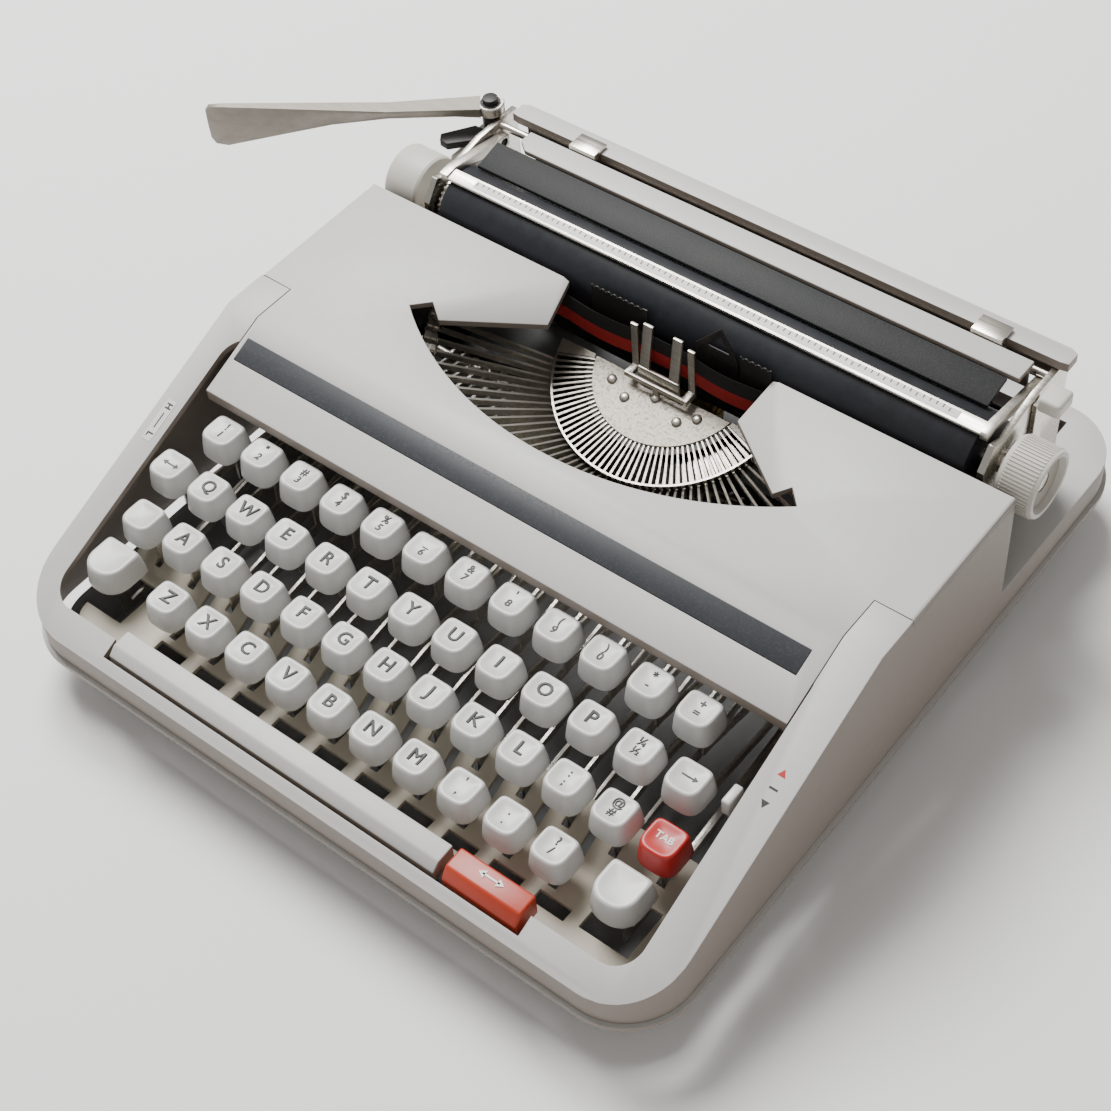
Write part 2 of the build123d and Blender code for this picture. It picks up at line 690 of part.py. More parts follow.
def platen_ratchet():
    ratchet = rod_x(-112.4, -110, PLATEN_Y, PLATEN_Z, 10.5)
    for k in range(30):
        tooth = Rot(k * 12, 0, 0) * Pos(0, 10.6, 0) * Box(2.4, 1.6, 1.1)
        ratchet += Pos(-111.2, PLATEN_Y, PLATEN_Z) * tooth
    return ratchet - rod_x(-114, -108, PLATEN_Y, PLATEN_Z, SHAFT_RADIUS)


def knob(x0, x1, outer_end):
    """Ribbed plastic knob with a hollow outer face."""
    body = rod_x(x0, x1, PLATEN_Y, PLATEN_Z, 13)
    recess = rod_x(outer_end - 3, outer_end + 3, PLATEN_Y, PLATEN_Z, 10.5)
    body -= recess
    return body - rod_x(x0 - 1, x1 + 1, PLATEN_Y, PLATEN_Z, SHAFT_RADIUS)


def feed_rollers():
    rollers = rod_x(END_PLATE_LEFT[0], END_PLATE_RIGHT[1], PLATEN_Y, FEED_Z, 2.0)
    for x in (-78, -28, 38, 88):
        rollers += rod_x(x - 16, x + 16, PLATEN_Y, FEED_Z, FEED_RADIUS)
    return rollers


BAIL_PIVOT = (100.0, 88.0)


def paper_bail():
    bar = plate_yz([(66.9, 92.9), (66.9, 93.9), (72.1, 94.9), (72.1, 93.9)], -109.5, 119.5)
    for x0, x1 in ((-113.2, -109.5), (119.5, 122.5)):
        bar += plate_yz([(66.9, 91.5), (66.9, 95), (72, 95.6), (BAIL_PIVOT[0] + 3, 90.5),
                         (BAIL_PIVOT[0] + 3, 85.5), (BAIL_PIVOT[0] - 3, 85.5), (72, 93)], x0, x1)
    bar -= rod_x(-130, 130, *BAIL_PIVOT, 2.0 + RUNNING_GAP)
    return bar


def bail_pins():
    return [rod_x(-114, -110, *BAIL_PIVOT, 2.0), rod_x(119.6, 123.5, *BAIL_PIVOT, 2.0)]


LEVER_PIVOT = (-120.5, 106.5)
LEVER_END = (-205.0, 37.0)


def return_lever():
    """Long hand lever with a deep paddle at its free end."""
    px, py = LEVER_PIVOT
    dx, dy = LEVER_END[0] - px, LEVER_END[1] - py
    length = math.hypot(dx, dy)
    angle = math.degrees(math.atan2(dy, dx))
    side = extrude(Plane.XZ.offset(-1) * Polygon(
        (0, 94.6), (0, 99), (40, 99.5), (length - 2, 106), (length, 104), (length, 90), (length - 6, 86.6),
        (62, 93.5), (40, 94.6), align=None), amount=2, dir=(0, -1, 0))
    hub = rod_z(94.6, 99, 0, 0, 7)
    lever = side + hub - rod_z(90, 105, 0, 0, 3.0 + RUNNING_GAP)
    return Pos(px, py, 0) * Rot(0, 0, angle) * lever


def lever_post():
    px, py = LEVER_PIVOT
    return rod_z(84, 101, px, py, 3.0) + block((-126, -116.5), (100, 113), (84, 86)) + rod_z(84, 94.3, px, py, 3.8)


def line_space_link():
    """Dark hook between the return lever and the ratchet."""
    return plate_xy([(-131, 87), (-127, 86.5), (-118, 96), (-118, 101.5), (-125, 101.5), (-133, 90)], 86, 89)


def release_lever(x0, x1, y, cap_x, cap_z):
    """Upright lever on the carriage end with a moulded cap, and its pivot eye."""
    arm = plate_yz([(y - 3, 58), (y - 3, cap_z[0]), (y + 3, cap_z[0]), (y + 3, 58)], x0, x1)
    arm += rod_x(x0, x1, y, 58, 4)
    arm -= rod_x(x0 - 1, x1 + 1, y, 58, 2.0 + RUNNING_GAP)
    cap = block(cap_x, (y - 5, y + 5), cap_z)
    cap = fillet(cap.edges().filter_by(Axis.Z), 1.5)
    return [arm, cap]


def release_pins():
    return [rod_x(126, 129, 92, 58, 2.0), rod_x(-119.5, -116.5, 92, 58, 2.0)]


# ---- output -------------------------------------------------------------------------------
def save(name, shape):
    solids = []
    items = shape if isinstance(shape, list) else [shape]
    for item in items:
        solids += list(item.solids())
    for solid in solids:
        solid.label = name
    out = solids[0] if len(solids) == 1 else Compound(label=name, children=solids)
    export_step(out, f"parts/{name}.step")


def main():
    os.makedirs("parts", exist_ok=True)
    save("body_shell", body_shell())
    save("base_pan", base_pan())
    save("rubber_feet", rubber_feet())
    save("keyboard_plate", keyboard_plate())
    save("ribbon_cover", ribbon_cover())
    save("cover_strip", cover_strip())
    save("mechanism_frame", side_plates() + frame_crossbars())
    save("mechanism_posts", [drum_post(), escapement_bracket(), selector_pin()])
    save("key_pivot_shaft", key_pivot_shaft())
    save("carriage_rail", carriage_rail())
    save("segment", segment())
    save("typebars", typebars())
    save("typebar_f", typebar(TYPEBAR_A_INDEX))
    save("typebar_j", typebar(TYPEBAR_B_INDEX))
    save("type_guide", type_guide())
    save("line_scales", line_scales())
    save("ribbon_cups", ribbon_cups())
    save("ribbon_spool_left", ribbon_spool(-1))
    save("ribbon_spool_right", ribbon_spool(1))
    save("ribbon", ribbon())
    save("ribbon_vibrator", ribbon_vibrator())
    save("colour_selector", colour_selector())
    save("mainspring_drum", mainspring_drum())
    save("bell", bell())
    save("escapement_wheel", escapement_wheel())
    for row in ROWS:
        save(f"key_row_{row}", key_row(row))
    x0, count, y, top = ROWS[3]
    save("key_f", one_key(x0 + KEY_F_INDEX * KEY_PITCH, y, top, 3))
    save("key_j", one_key(x0 + KEY_J_INDEX * KEY_PITCH, y, top, 3))
    save("tab_key", one_key(TAB_X, y, top, 3))
    save("backspace_key", one_key(BACKSPACE_X, *ROWS[2][2:], 2))
    save("margin_release_key", one_key(*MARGIN_KEY_PLACE, ROWS[2][3], 2))
    save("shift_lock_key", one_key(*LOCK_PLACE, 52.0, 3, lever_x=LOCK_LEVER_X))
    for side, place, lever_x in zip(("left", "right"), SHIFT_PLACES, SHIFT_LEVERS_X):
        save(f"shift_key_{side}", one_key(*place, 46.0, 4, (18, 18), lever_x))
    save("space_bar", space_bar())
    save("repeat_space_key", repeat_space_key())
    save("carriage_truck", carriage_truck())
    save("carriage_rack", carriage_rack())
    save("carriage_end_plates", carriage_end_plates())
    save("carriage_bed", [carriage_bed()] + bail_pins() + release_pins())
    save("paper_pan", paper_pan())
    save("paper_table", paper_table())
    save("carriage_top_plate", carriage_top_plate())
    save("margin_rail", margin_rail())
    save("rear_bar", rear_bar())
    save("margin_stop_left", margin_stop(-73))
    save("margin_stop_right", margin_stop(100))
    save("platen", platen())
    save("platen_shaft", [platen_shaft(), platen_ratchet()])
    save("platen_knob_left", knob(-138, -122, -138))
    save("platen_knob_right", knob(129, 144, 144))
    save("feed_rollers", feed_rollers())
    save("paper_bail", paper_bail())
    save("return_lever", return_lever())
    save("lever_post", [lever_post(), line_space_link()])
    save("paper_release_lever", release_lever(126.3, 128.0, 92, (128.4, 137), (92.5, 98.5)))
    save("carriage_release_lever", release_lever(-118.4, -116.8, 92, (-127, -118.8), (76, 83)))


main()
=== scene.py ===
"""Display model of a portable manual typewriter, dressed around its packed mechanical frame.

Lengths in the classes are millimetres, as on a maker's drawing, and MM turns them into metres.
"""

import json
import logging
import math
from dataclasses import dataclass, field
from enum import Enum
from typing import Callable, Iterable, Sequence

import bmesh
import bpy
from mathutils import Matrix, Vector


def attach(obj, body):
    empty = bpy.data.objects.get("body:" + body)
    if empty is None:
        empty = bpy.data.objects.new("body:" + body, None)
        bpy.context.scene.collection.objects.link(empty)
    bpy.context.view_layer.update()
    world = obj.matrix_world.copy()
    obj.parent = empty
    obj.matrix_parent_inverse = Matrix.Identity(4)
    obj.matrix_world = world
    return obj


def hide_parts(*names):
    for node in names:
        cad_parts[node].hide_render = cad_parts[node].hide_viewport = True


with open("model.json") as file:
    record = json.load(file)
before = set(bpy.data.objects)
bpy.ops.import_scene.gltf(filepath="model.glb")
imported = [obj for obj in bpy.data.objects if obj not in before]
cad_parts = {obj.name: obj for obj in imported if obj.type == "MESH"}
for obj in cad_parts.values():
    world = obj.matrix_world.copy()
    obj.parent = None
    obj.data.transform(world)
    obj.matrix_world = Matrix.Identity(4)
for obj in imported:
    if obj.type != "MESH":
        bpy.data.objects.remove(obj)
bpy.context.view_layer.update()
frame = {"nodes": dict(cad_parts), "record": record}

MM = 0.001
MERGE_DISTANCE = 1e-6
FLAT_DEG = 0.6
BUMP_DISTANCE = 0.0004
COAT_ROUGHNESS = 0.25
STROKE_SHARE = 0.028
LINE_SPACING = 0.92
LOG = logging.getLogger("typewriter")
Point = tuple[float, float, float]
Colour = tuple[float, float, float]


# ---- finishes ------------------------------------------------------------------------------
class Pattern(Enum):
    """What breaks up the colour of a finish."""

    MOTTLE = "mottle"
    SPECKLE = "speckle"
    BRUSHED = "brushed"
    WEAVE = "weave"


@dataclass(frozen=True)
class Finish:
    """One surface finish: colour, gloss and the small marks that it carries.

    Args:
        slot: Material slot of the record that it belongs to; not used.
        colour: Main colour, linear.
        second: Colour of the marks, linear.
        amount: How far the marks change the main colour, 0 to 1.
        roughness: Lowest roughness.
        rough_swing: Roughness that the marks add.
        metallic: Metal share.
        coat: Weight of the clear coat.
        specular: Specular level.
        pattern: Which marks it carries.
        scale: Fineness of the marks.
        bump: Strength of the relief.
        dust: Dust on the faces that look up.
        dust_colour: Colour of that dust, linear.
        painted_shade: Painted shade, a brown darkening of the steep faces that stands in for the shade on
            the walls.
        painted_shade_colour: Colour of that painted shade, linear.
    """

    slot: str
    colour: Colour
    second: Colour
    amount: float = 0.25
    roughness: float = 0.5
    rough_swing: float = 0.12
    metallic: float = 0.0
    coat: float = 0.0
    specular: float = 0.5
    pattern: Pattern = Pattern.MOTTLE
    scale: float = 90.0
    bump: float = 0.06
    dust: float = 0.06
    dust_colour: Colour = (0.42, 0.38, 0.32)
    # aged and painted_shade_colour paint shade: a brown darkening of the steep faces that stands in for the
    # shade on the walls
    painted_shade: float = 0.0
    painted_shade_colour: Colour = (0.17, 0.125, 0.09)


FINISHES = {
    # the casing's aged tint is painted shade on its steep walls
    "casing": Finish("casing_plastic", (0.53, 0.53, 0.525), (0.48, 0.47, 0.45), 0.35, 0.46, 0.08,
                     scale=60, bump=0.05, coat=0.05, painted_shade=0.8),
    "knob_centre": Finish("cream_plastic", (0.27, 0.24, 0.20), (0.25, 0.22, 0.18), 0.4, 0.5, scale=80),
    "base": Finish("base_plastic", (0.20, 0.205, 0.21), (0.15, 0.15, 0.155), 0.4, 0.5),
    "rubber": Finish("foot_rubber", (0.02, 0.02, 0.02), (0.05, 0.05, 0.05), 0.4, 0.85),
    "plate": Finish("cream_plate", (0.52, 0.485, 0.405), (0.50, 0.44, 0.33), 0.45, 0.55,
                    scale=45, dust=0.25),
    "dark_steel": Finish("dark_steel", (0.012, 0.012, 0.013), (0.05, 0.045, 0.04), 0.5, 0.5, metallic=0.35,
                         pattern=Pattern.SPECKLE, dust=0.08),
    "bright_steel": Finish("bright_steel", (0.68, 0.65, 0.59), (0.36, 0.33, 0.28), 0.4, 0.32, metallic=1.0,
                           pattern=Pattern.BRUSHED, scale=140, dust=0.02),
    "comb_steel": Finish("warm_casting", (0.50, 0.47, 0.42), (0.26, 0.24, 0.20), 0.4, 0.38, metallic=1.0,
                         pattern=Pattern.BRUSHED, scale=140, dust=0.02),
    "segment": Finish("warm_casting", (0.31, 0.285, 0.245), (0.20, 0.18, 0.15), 0.55, 0.42, metallic=0.55,
                      pattern=Pattern.SPECKLE, scale=160, bump=0.14, dust=0.12),
    "comb_shade": Finish("warm_casting", (0.016, 0.015, 0.014), (0.05, 0.045, 0.04), 0.5, 0.5, metallic=0.3,
                         pattern=Pattern.SPECKLE),
    "enamel": Finish("black_enamel", (0.010, 0.010, 0.011), (0.035, 0.035, 0.035), 0.4, 0.4, specular=0.3),
    "bell": Finish("bell_metal", (0.62, 0.50, 0.26), (0.40, 0.30, 0.14), 0.4, 0.3, metallic=1.0,
                   pattern=Pattern.BRUSHED),
    "strip": Finish("charcoal_trim", (0.026, 0.030, 0.038), (0.045, 0.05, 0.058), 0.5, 0.42,
                    pattern=Pattern.SPECKLE, scale=200, bump=0.03, specular=0.25),
    "spool": Finish("spool_metal", (0.07, 0.07, 0.075), (0.12, 0.12, 0.12), 0.4, 0.4, metallic=0.5),
    "key": Finish("key_plastic", (0.60, 0.605, 0.595), (0.51, 0.50, 0.48), 0.4, 0.30, 0.06,
                  coat=0.15, scale=120, bump=0.02),
    "legend": Finish("key_plastic", (0.030, 0.030, 0.032), (0.06, 0.06, 0.06), 0.3, 0.5,
                     bump=0.0, dust=0.0),
    "brass": Finish("brass_gear", (0.60, 0.46, 0.20), (0.36, 0.26, 0.10), 0.4, 0.32, metallic=1.0,
                    pattern=Pattern.BRUSHED),
    "red_key": Finish("red_plastic", (0.48, 0.012, 0.010), (0.36, 0.01, 0.008), 0.4, 0.36, 0.05, coat=0.1,
                      bump=0.02, dust=0.03),
    "white_ink": Finish("red_plastic", (0.86, 0.84, 0.80), (0.75, 0.72, 0.68), 0.3, 0.45,
                        bump=0.0, dust=0.0),
    "orange_key": Finish("orange_plastic", (0.46, 0.034, 0.008), (0.36, 0.03, 0.008), 0.4, 0.36, 0.06,
                         bump=0.03, dust=0.05),
    "nickel": Finish("nickel_steel", (0.72, 0.69, 0.63), (0.42, 0.39, 0.33), 0.35, 0.24, metallic=1.0,
                     pattern=Pattern.BRUSHED, scale=110, dust=0.03),
    "wrinkle": Finish("wrinkle_black", (0.010, 0.012, 0.014), (0.040, 0.043, 0.046), 0.7, 0.52,
                      pattern=Pattern.SPECKLE, scale=330, bump=0.3, dust=0.04, specular=0.22),
    "platen": Finish("platen_rubber", (0.011, 0.0125, 0.017), (0.028, 0.031, 0.040), 0.55, 0.40, 0.14,
                     scale=35, bump=0.05, dust=0.04, specular=0.25),
    "knob": Finish("cream_plastic", (0.60, 0.585, 0.54), (0.50, 0.475, 0.42), 0.4, 0.42, scale=80),
    "lever": Finish("beige_metal", (0.27, 0.245, 0.21), (0.19, 0.17, 0.145), 0.4, 0.36, metallic=0.45,
                    pattern=Pattern.BRUSHED, scale=60, coat=0.15),
    "ribbon": Finish("ribbon_cloth", (0.008, 0.008, 0.008), (0.42, 0.010, 0.010), 1.0, 0.75,
                     pattern=Pattern.WEAVE, scale=1500, bump=0.12, dust=0.0),
    "red_ink": Finish("charcoal_trim", (0.50, 0.02, 0.03), (0.40, 0.02, 0.02), 0.3, 0.5,
                      bump=0.0, dust=0.0),
    "sticker": Finish("casing_plastic", (0.76, 0.75, 0.72), (0.68, 0.66, 0.62), 0.3, 0.35,
                      bump=0.0, dust=0.02),
    "scale_white": Finish("nickel_steel", (0.70, 0.69, 0.66), (0.55, 0.53, 0.50), 0.35, 0.4, dust=0.02),
}


def node(tree: bpy.types.NodeTree, kind: str, **values: object) -> bpy.types.Node:
    """Adds a node and sets its properties or, by socket name, its input values."""
    made = tree.nodes.new(kind)
    for key, value in values.items():
        if hasattr(made, key):
            setattr(made, key, value)
        else:
            made.inputs[key.replace("_", " ")].default_value = value
    return made


def group_socket(tree: bpy.types.NodeTree, name: str, kind: str, out: bool = False,
                 default: object = None) -> None:
    """Adds one named socket to a node group."""
    made = tree.interface.new_socket(name=name, in_out="OUTPUT" if out else "INPUT",
                                     socket_type="NodeSocket" + kind)
    if default is not None:
        made.default_value = default


class SurfaceGroups:
    """Shader node groups that the finishes share, each built once."""

    coarse_share = 0.25
    fine_times = 6.0
    patch_scale = 55.0

    def __init__(self) -> None:
        """Builds a marks group for each pattern, the dust group and the group that paints shade on the
        steep walls.
        """
        self.marks = {pattern: self.build_marks(pattern) for pattern in Pattern}
        self.dust = self.build_facing("settled_dust", 0.0, 1.0, 0.5)
        # painted shade: darkens and browns the faces that turn from up to steep, in place of the shade on
        # the walls
        self.painted_shade = self.build_facing("painted_wall_shade", 0.80, 0.35, 0.0)

    def build_marks(self, pattern: Pattern) -> bpy.types.NodeTree:
        """Group that mixes two colours by a fine pattern and gives the pattern's height and gloss.

        Args:
            pattern: Which marks it makes.

        Returns:
            The node group.
        """
        tree = bpy.data.node_groups.new(f"marks_{pattern.value}", "ShaderNodeTree")
        group_socket(tree, "Colour", "Color")
        group_socket(tree, "Second", "Color")
        group_socket(tree, "Amount", "Float", default=0.3)
        group_socket(tree, "Scale", "Float", default=90.0)
        group_socket(tree, "Roughness", "Float", default=0.5)
        group_socket(tree, "Swing", "Float", default=0.1)
        group_socket(tree, "Colour", "Color", out=True)
        group_socket(tree, "Roughness", "Float", out=True)
        group_socket(tree, "Height", "Float", out=True)
        link = tree.links.new
        start = node(tree, "NodeGroupInput")
        end = node(tree, "NodeGroupOutput")
        coords = node(tree, "ShaderNodeTexCoord")
        stretch = node(tree, "ShaderNodeMapping")
        link(coords.outputs["Object"], stretch.inputs["Vector"])
        stretch.inputs["Scale"].default_value = (0.04, 1, 1) if pattern is Pattern.BRUSHED else (1, 1, 1)
        coarse = node(tree, "ShaderNodeTexNoise", Detail=3.0, Roughness=0.6)
        link(coords.outputs["Object"], coarse.inputs["Vector"])
        slow = node(tree, "ShaderNodeMath", operation="MULTIPLY")
        slow.inputs[1].default_value = self.coarse_share
        link(start.outputs["Scale"], slow.inputs[0])
        link(slow.outputs[0], coarse.inputs["Scale"])
        fine = node(tree, "ShaderNodeTexNoise", Detail=6.0, Roughness=0.65)
        link(stretch.outputs["Vector"], fine.inputs["Vector"])
        quick = node(tree, "ShaderNodeMath", operation="MULTIPLY")
        quick.inputs[1].default_value = self.fine_times
        link(start.outputs["Scale"], quick.inputs[0])
        link(quick.outputs[0], fine.inputs["Scale"])
        mask = node(tree, "ShaderNodeMapRange")
        low, high = {
            Pattern.MOTTLE: (0.35, 0.68),
            Pattern.SPECKLE: (0.50, 0.62),
            Pattern.BRUSHED: (0.38, 0.66),
            Pattern.WEAVE: (0.35, 0.65),
        }[pattern]
        mask.inputs["From Min"].default_value = low
        mask.inputs["From Max"].default_value = high
        blend = node(tree, "ShaderNodeMath", operation="ADD")
        share = node(tree, "ShaderNodeMath", operation="MULTIPLY")
        share.inputs[1].default_value = 0.5
        link(coarse.outputs["Fac"], blend.inputs[0])
        link(fine.outputs["Fac"], blend.inputs[1])
        link(blend.outputs[0], share.inputs[0])
        source = fine if pattern in (Pattern.SPECKLE, Pattern.BRUSHED) else share
        link(source.outputs[0], mask.inputs["Value"])
        strength = node(tree, "ShaderNodeMath", operation="MULTIPLY")
        link(mask.outputs["Result"], strength.inputs[0])
        link(start.outputs["Amount"], strength.inputs[1])
        mix = node(tree, "ShaderNodeMix", data_type="RGBA")
        link(strength.outputs[0], mix.inputs["Factor"])
        link(start.outputs["Colour"], mix.inputs[6])
        link(start.outputs["Second"], mix.inputs[7])
        swing = node(tree, "ShaderNodeMath", operation="MULTIPLY_ADD")
        link(mask.outputs["Result"], swing.inputs[0])
        link(start.outputs["Swing"], swing.inputs[1])
        link(start.outputs["Roughness"], swing.inputs[2])
        link(mix.outputs[2], end.inputs["Colour"])
        link(swing.outputs[0], end.inputs["Roughness"])
        link(fine.outputs["Fac"], end.inputs["Height"])
        return tree

    def build_facing(self, name: str, clear: float, full: float, patchy: float) -> bpy.types.NodeTree:
        """Group that tints the faces whose slope lies between two limits.

        Args:
            name: Group name.
            clear: Upward part of the normal at which there is no tint.
            full: Upward part of the normal at which the tint is full.
            patchy: Share of the tint that comes in soft patches.

        Returns:
            The node group.
        """
        tree = bpy.data.node_groups.new(name, "ShaderNodeTree")
        group_socket(tree, "Colour", "Color")
        group_socket(tree, "Tint", "Color")
        group_socket(tree, "Amount", "Float", default=0.1)
        group_socket(tree, "Colour", "Color", out=True)
        link = tree.links.new
        start = node(tree, "NodeGroupInput")
        end = node(tree, "NodeGroupOutput")
        coords = node(tree, "ShaderNodeTexCoord")
        patches = node(tree, "ShaderNodeTexNoise", Scale=self.patch_scale, Detail=5.0, Roughness=0.7)
        link(coords.outputs["Object"], patches.inputs["Vector"])
        shape = node(tree, "ShaderNodeNewGeometry")
        split = node(tree, "ShaderNodeSeparateXYZ")
        link(shape.outputs["Normal"], split.inputs[0])
        facing = node(tree, "ShaderNodeMapRange", interpolation_type="SMOOTHSTEP")
        facing.inputs["From Min"].default_value = min(clear, full)
        facing.inputs["From Max"].default_value = max(clear, full)
        if full < clear:
            facing.inputs["To Min"].default_value = 1.0
            facing.inputs["To Max"].default_value = 0.0
        link(split.outputs["Z"], facing.inputs["Value"])
        break_up = node(tree, "ShaderNodeMath", operation="MULTIPLY_ADD")
        break_up.inputs[1].default_value = 2 * patchy
        break_up.inputs[2].default_value = 1 - 2 * patchy
        link(patches.outputs["Fac"], break_up.inputs[0])
        covered = node(tree, "ShaderNodeMath", operation="MULTIPLY", use_clamp=True)
        link(facing.outputs["Result"], covered.inputs[0])
        link(break_up.outputs[0], covered.inputs[1])
        share = node(tree, "ShaderNodeMath", operation="MULTIPLY", use_clamp=True)
        link(covered.outputs[0], share.inputs[0])
        link(start.outputs["Amount"], share.inputs[1])
        mix = node(tree, "ShaderNodeMix", data_type="RGBA")
        link(share.outputs[0], mix.inputs["Factor"])
        link(start.outputs["Colour"], mix.inputs[6])
        link(start.outputs["Tint"], mix.inputs[7])
        link(mix.outputs[2], end.inputs["Colour"])
        return tree


class Paintshop:
    """Makes each finish's material once and puts it on pieces."""

    def __init__(self) -> None:
        """Builds the shared groups."""
        self.groups = SurfaceGroups()
        self.made: dict[str, bpy.types.Material] = {}

    def material(self, name: str) -> bpy.types.Material:
        """Material of a named finish, built the first time that it is asked for."""
        if name in self.made:
            return self.made[name]
        finish = FINISHES[name]
        made = bpy.data.materials.new(name)
        made.use_nodes = True
        tree = made.node_tree
        link = tree.links.new
        shader = tree.nodes["Principled BSDF"]
        shader.inputs["Metallic"].default_value = finish.metallic
        shader.inputs["Coat Weight"].default_value = finish.coat
        shader.inputs["Coat Roughness"].default_value = COAT_ROUGHNESS
        shader.inputs["Specular IOR Level"].default_value = finish.specular
        marks = node(tree, "ShaderNodeGroup", node_tree=self.groups.marks[finish.pattern])
        marks.inputs["Colour"].default_value = (*finish.colour, 1)
        marks.inputs["Second"].default_value = (*finish.second, 1)
        marks.inputs["Amount"].default_value = finish.amount
        marks.inputs["Scale"].default_value = finish.scale
        marks.inputs["Roughness"].default_value = finish.roughness
        marks.inputs["Swing"].default_value = finish.rough_swing
        if finish.pattern is Pattern.WEAVE:
            marks.inputs["Amount"].default_value = 0.25
            marks.inputs["Second"].default_value = (0.03, 0.03, 0.03, 1)
            self.two_colours(tree, marks, finish)
        last = marks
        # the first layer is painted shade on the steep faces, the second is dust on the faces that look up
        for group, tint, amount in ((self.groups.painted_shade, finish.painted_shade_colour, finish.painted_shade),
                                    (self.groups.dust, finish.dust_colour, finish.dust)):
            if not amount:
                continue
            layer = node(tree, "ShaderNodeGroup", node_tree=group)
            layer.inputs["Tint"].default_value = (*tint, 1)
            layer.inputs["Amount"].default_value = amount
            link(last.outputs["Colour"], layer.inputs["Colour"])
            last = layer
        link(last.outputs["Colour"], shader.inputs["Base Color"])
        link(marks.outputs["Roughness"], shader.inputs["Roughness"])
        if finish.bump:
            bump = node(tree, "ShaderNodeBump", Strength=finish.bump, Distance=BUMP_DISTANCE)
            link(marks.outputs["Height"], bump.inputs["Height"])
            link(bump.outputs["Normal"], shader.inputs["Normal"])
        self.made[name] = made
        return made

    def two_colours(self, tree: bpy.types.NodeTree, marks: bpy.types.Node, finish: Finish) -> None:
        """Makes the lower half of an inked ribbon take the finish's second colour.

        Args:
            tree: The material's node tree.
            marks: The marks group in it.
            finish: The ribbon's finish.
        """
        link = tree.links.new
        place = node(tree, "ShaderNodeUVMap")
        split = node(tree, "ShaderNodeSeparateXYZ")
        link(place.outputs["UV"], split.inputs[0])
        edge = node(tree, "ShaderNodeMath", operation="LESS_THAN")
        edge.inputs[1].default_value = 0.5
        link(split.outputs["Y"], edge.inputs[0])
        mix = node(tree, "ShaderNodeMix", data_type="RGBA")
        link(edge.outputs[0], mix.inputs["Factor"])
        mix.inputs[6].default_value = (*finish.colour, 1)
        mix.inputs[7].default_value = (*finish.second, 1)
        link(mix.outputs[2], marks.inputs["Colour"])

    def dress(self, piece: bpy.types.Object, name: str) -> bpy.types.Object:
        """Gives a piece one finish all over."""
        piece.data.materials.clear()
        piece.data.materials.append(self.material(name))
        return piece


# ---- mesh helpers --------------------------------------------------------------------------
def new_piece(name: str, mesh: bpy.types.Mesh) -> bpy.types.Object:
    """Links a mesh into the scene as an object at the origin."""
    made = bpy.data.objects.new(name, mesh)
    bpy.context.scene.collection.objects.link(made)
    return made


def from_bmesh(name: str, bm: bmesh.types.BMesh, sharp_deg: float = 35.0) -> bpy.types.Object:
    """Makes a piece from a bmesh in millimetres, smooth except at sharp edges.

    Args:
        name: Piece name.
        bm: The mesh, which is used up.
        sharp_deg: Edges that turn more than this stay sharp.

    Returns:
        The new object.
    """
    bmesh.ops.scale(bm, vec=(MM, MM, MM), verts=bm.verts)
    smooth_by_angle(bm, sharp_deg)
    mesh = bpy.data.meshes.new(name)
    bm.to_mesh(mesh)
    bm.free()
    return new_piece(name, mesh)


def smooth_by_angle(bm: bmesh.types.BMesh, sharp_deg: float) -> None:
    """Smooth faces with sharp edges where the surface turns more than sharp_deg."""
    limit = math.radians(sharp_deg)
    for face in bm.faces:
        face.smooth = True
    for edge in bm.edges:
        edge.smooth = len(edge.link_faces) == 2 and edge.calc_face_angle(0) < limit


def cad_copy(node_name: str, keep: Callable[[Vector, Vector], bool] | None = None) -> bmesh.types.BMesh:
    """Merged copy of a CAD node in metres, with flat faces joined up.

    Args:
        node_name: CAD node.
        keep: Says from a loose part's lowest and highest corners, in millimetres, whether to keep it.

    Returns:
        The copy.
    """
    bm = bmesh.new()
    bm.from_mesh(frame["nodes"][node_name].data)
    bmesh.ops.remove_doubles(bm, verts=bm.verts, dist=MERGE_DISTANCE)
    if keep is not None:
        drop = []
        for island in islands(bm):
            xs, ys, zs = zip(*(v.co / MM for v in island))
            if not keep(Vector((min(xs), min(ys), min(zs))), Vector((max(xs), max(ys), max(zs)))):
                drop += island
        bmesh.ops.delete(bm, geom=drop, context="VERTS")
    bmesh.ops.dissolve_limit(bm, angle_limit=math.radians(FLAT_DEG), verts=bm.verts, edges=bm.edges)
    return bm


def islands(bm: bmesh.types.BMesh) -> list[list[bmesh.types.BMVert]]:
    """Groups of joined vertices."""
    seen: set[bmesh.types.BMVert] = set()
    found = []
    for start in bm.verts:
        if start in seen:
            continue
        stack, group = [start], []
        seen.add(start)
        while stack:
            vert = stack.pop()
            group.append(vert)
            for edge in vert.link_edges:
                other = edge.other_vert(vert)
                if other not in seen:
                    seen.add(other)
                    stack.append(other)
        found.append(group)
    return found


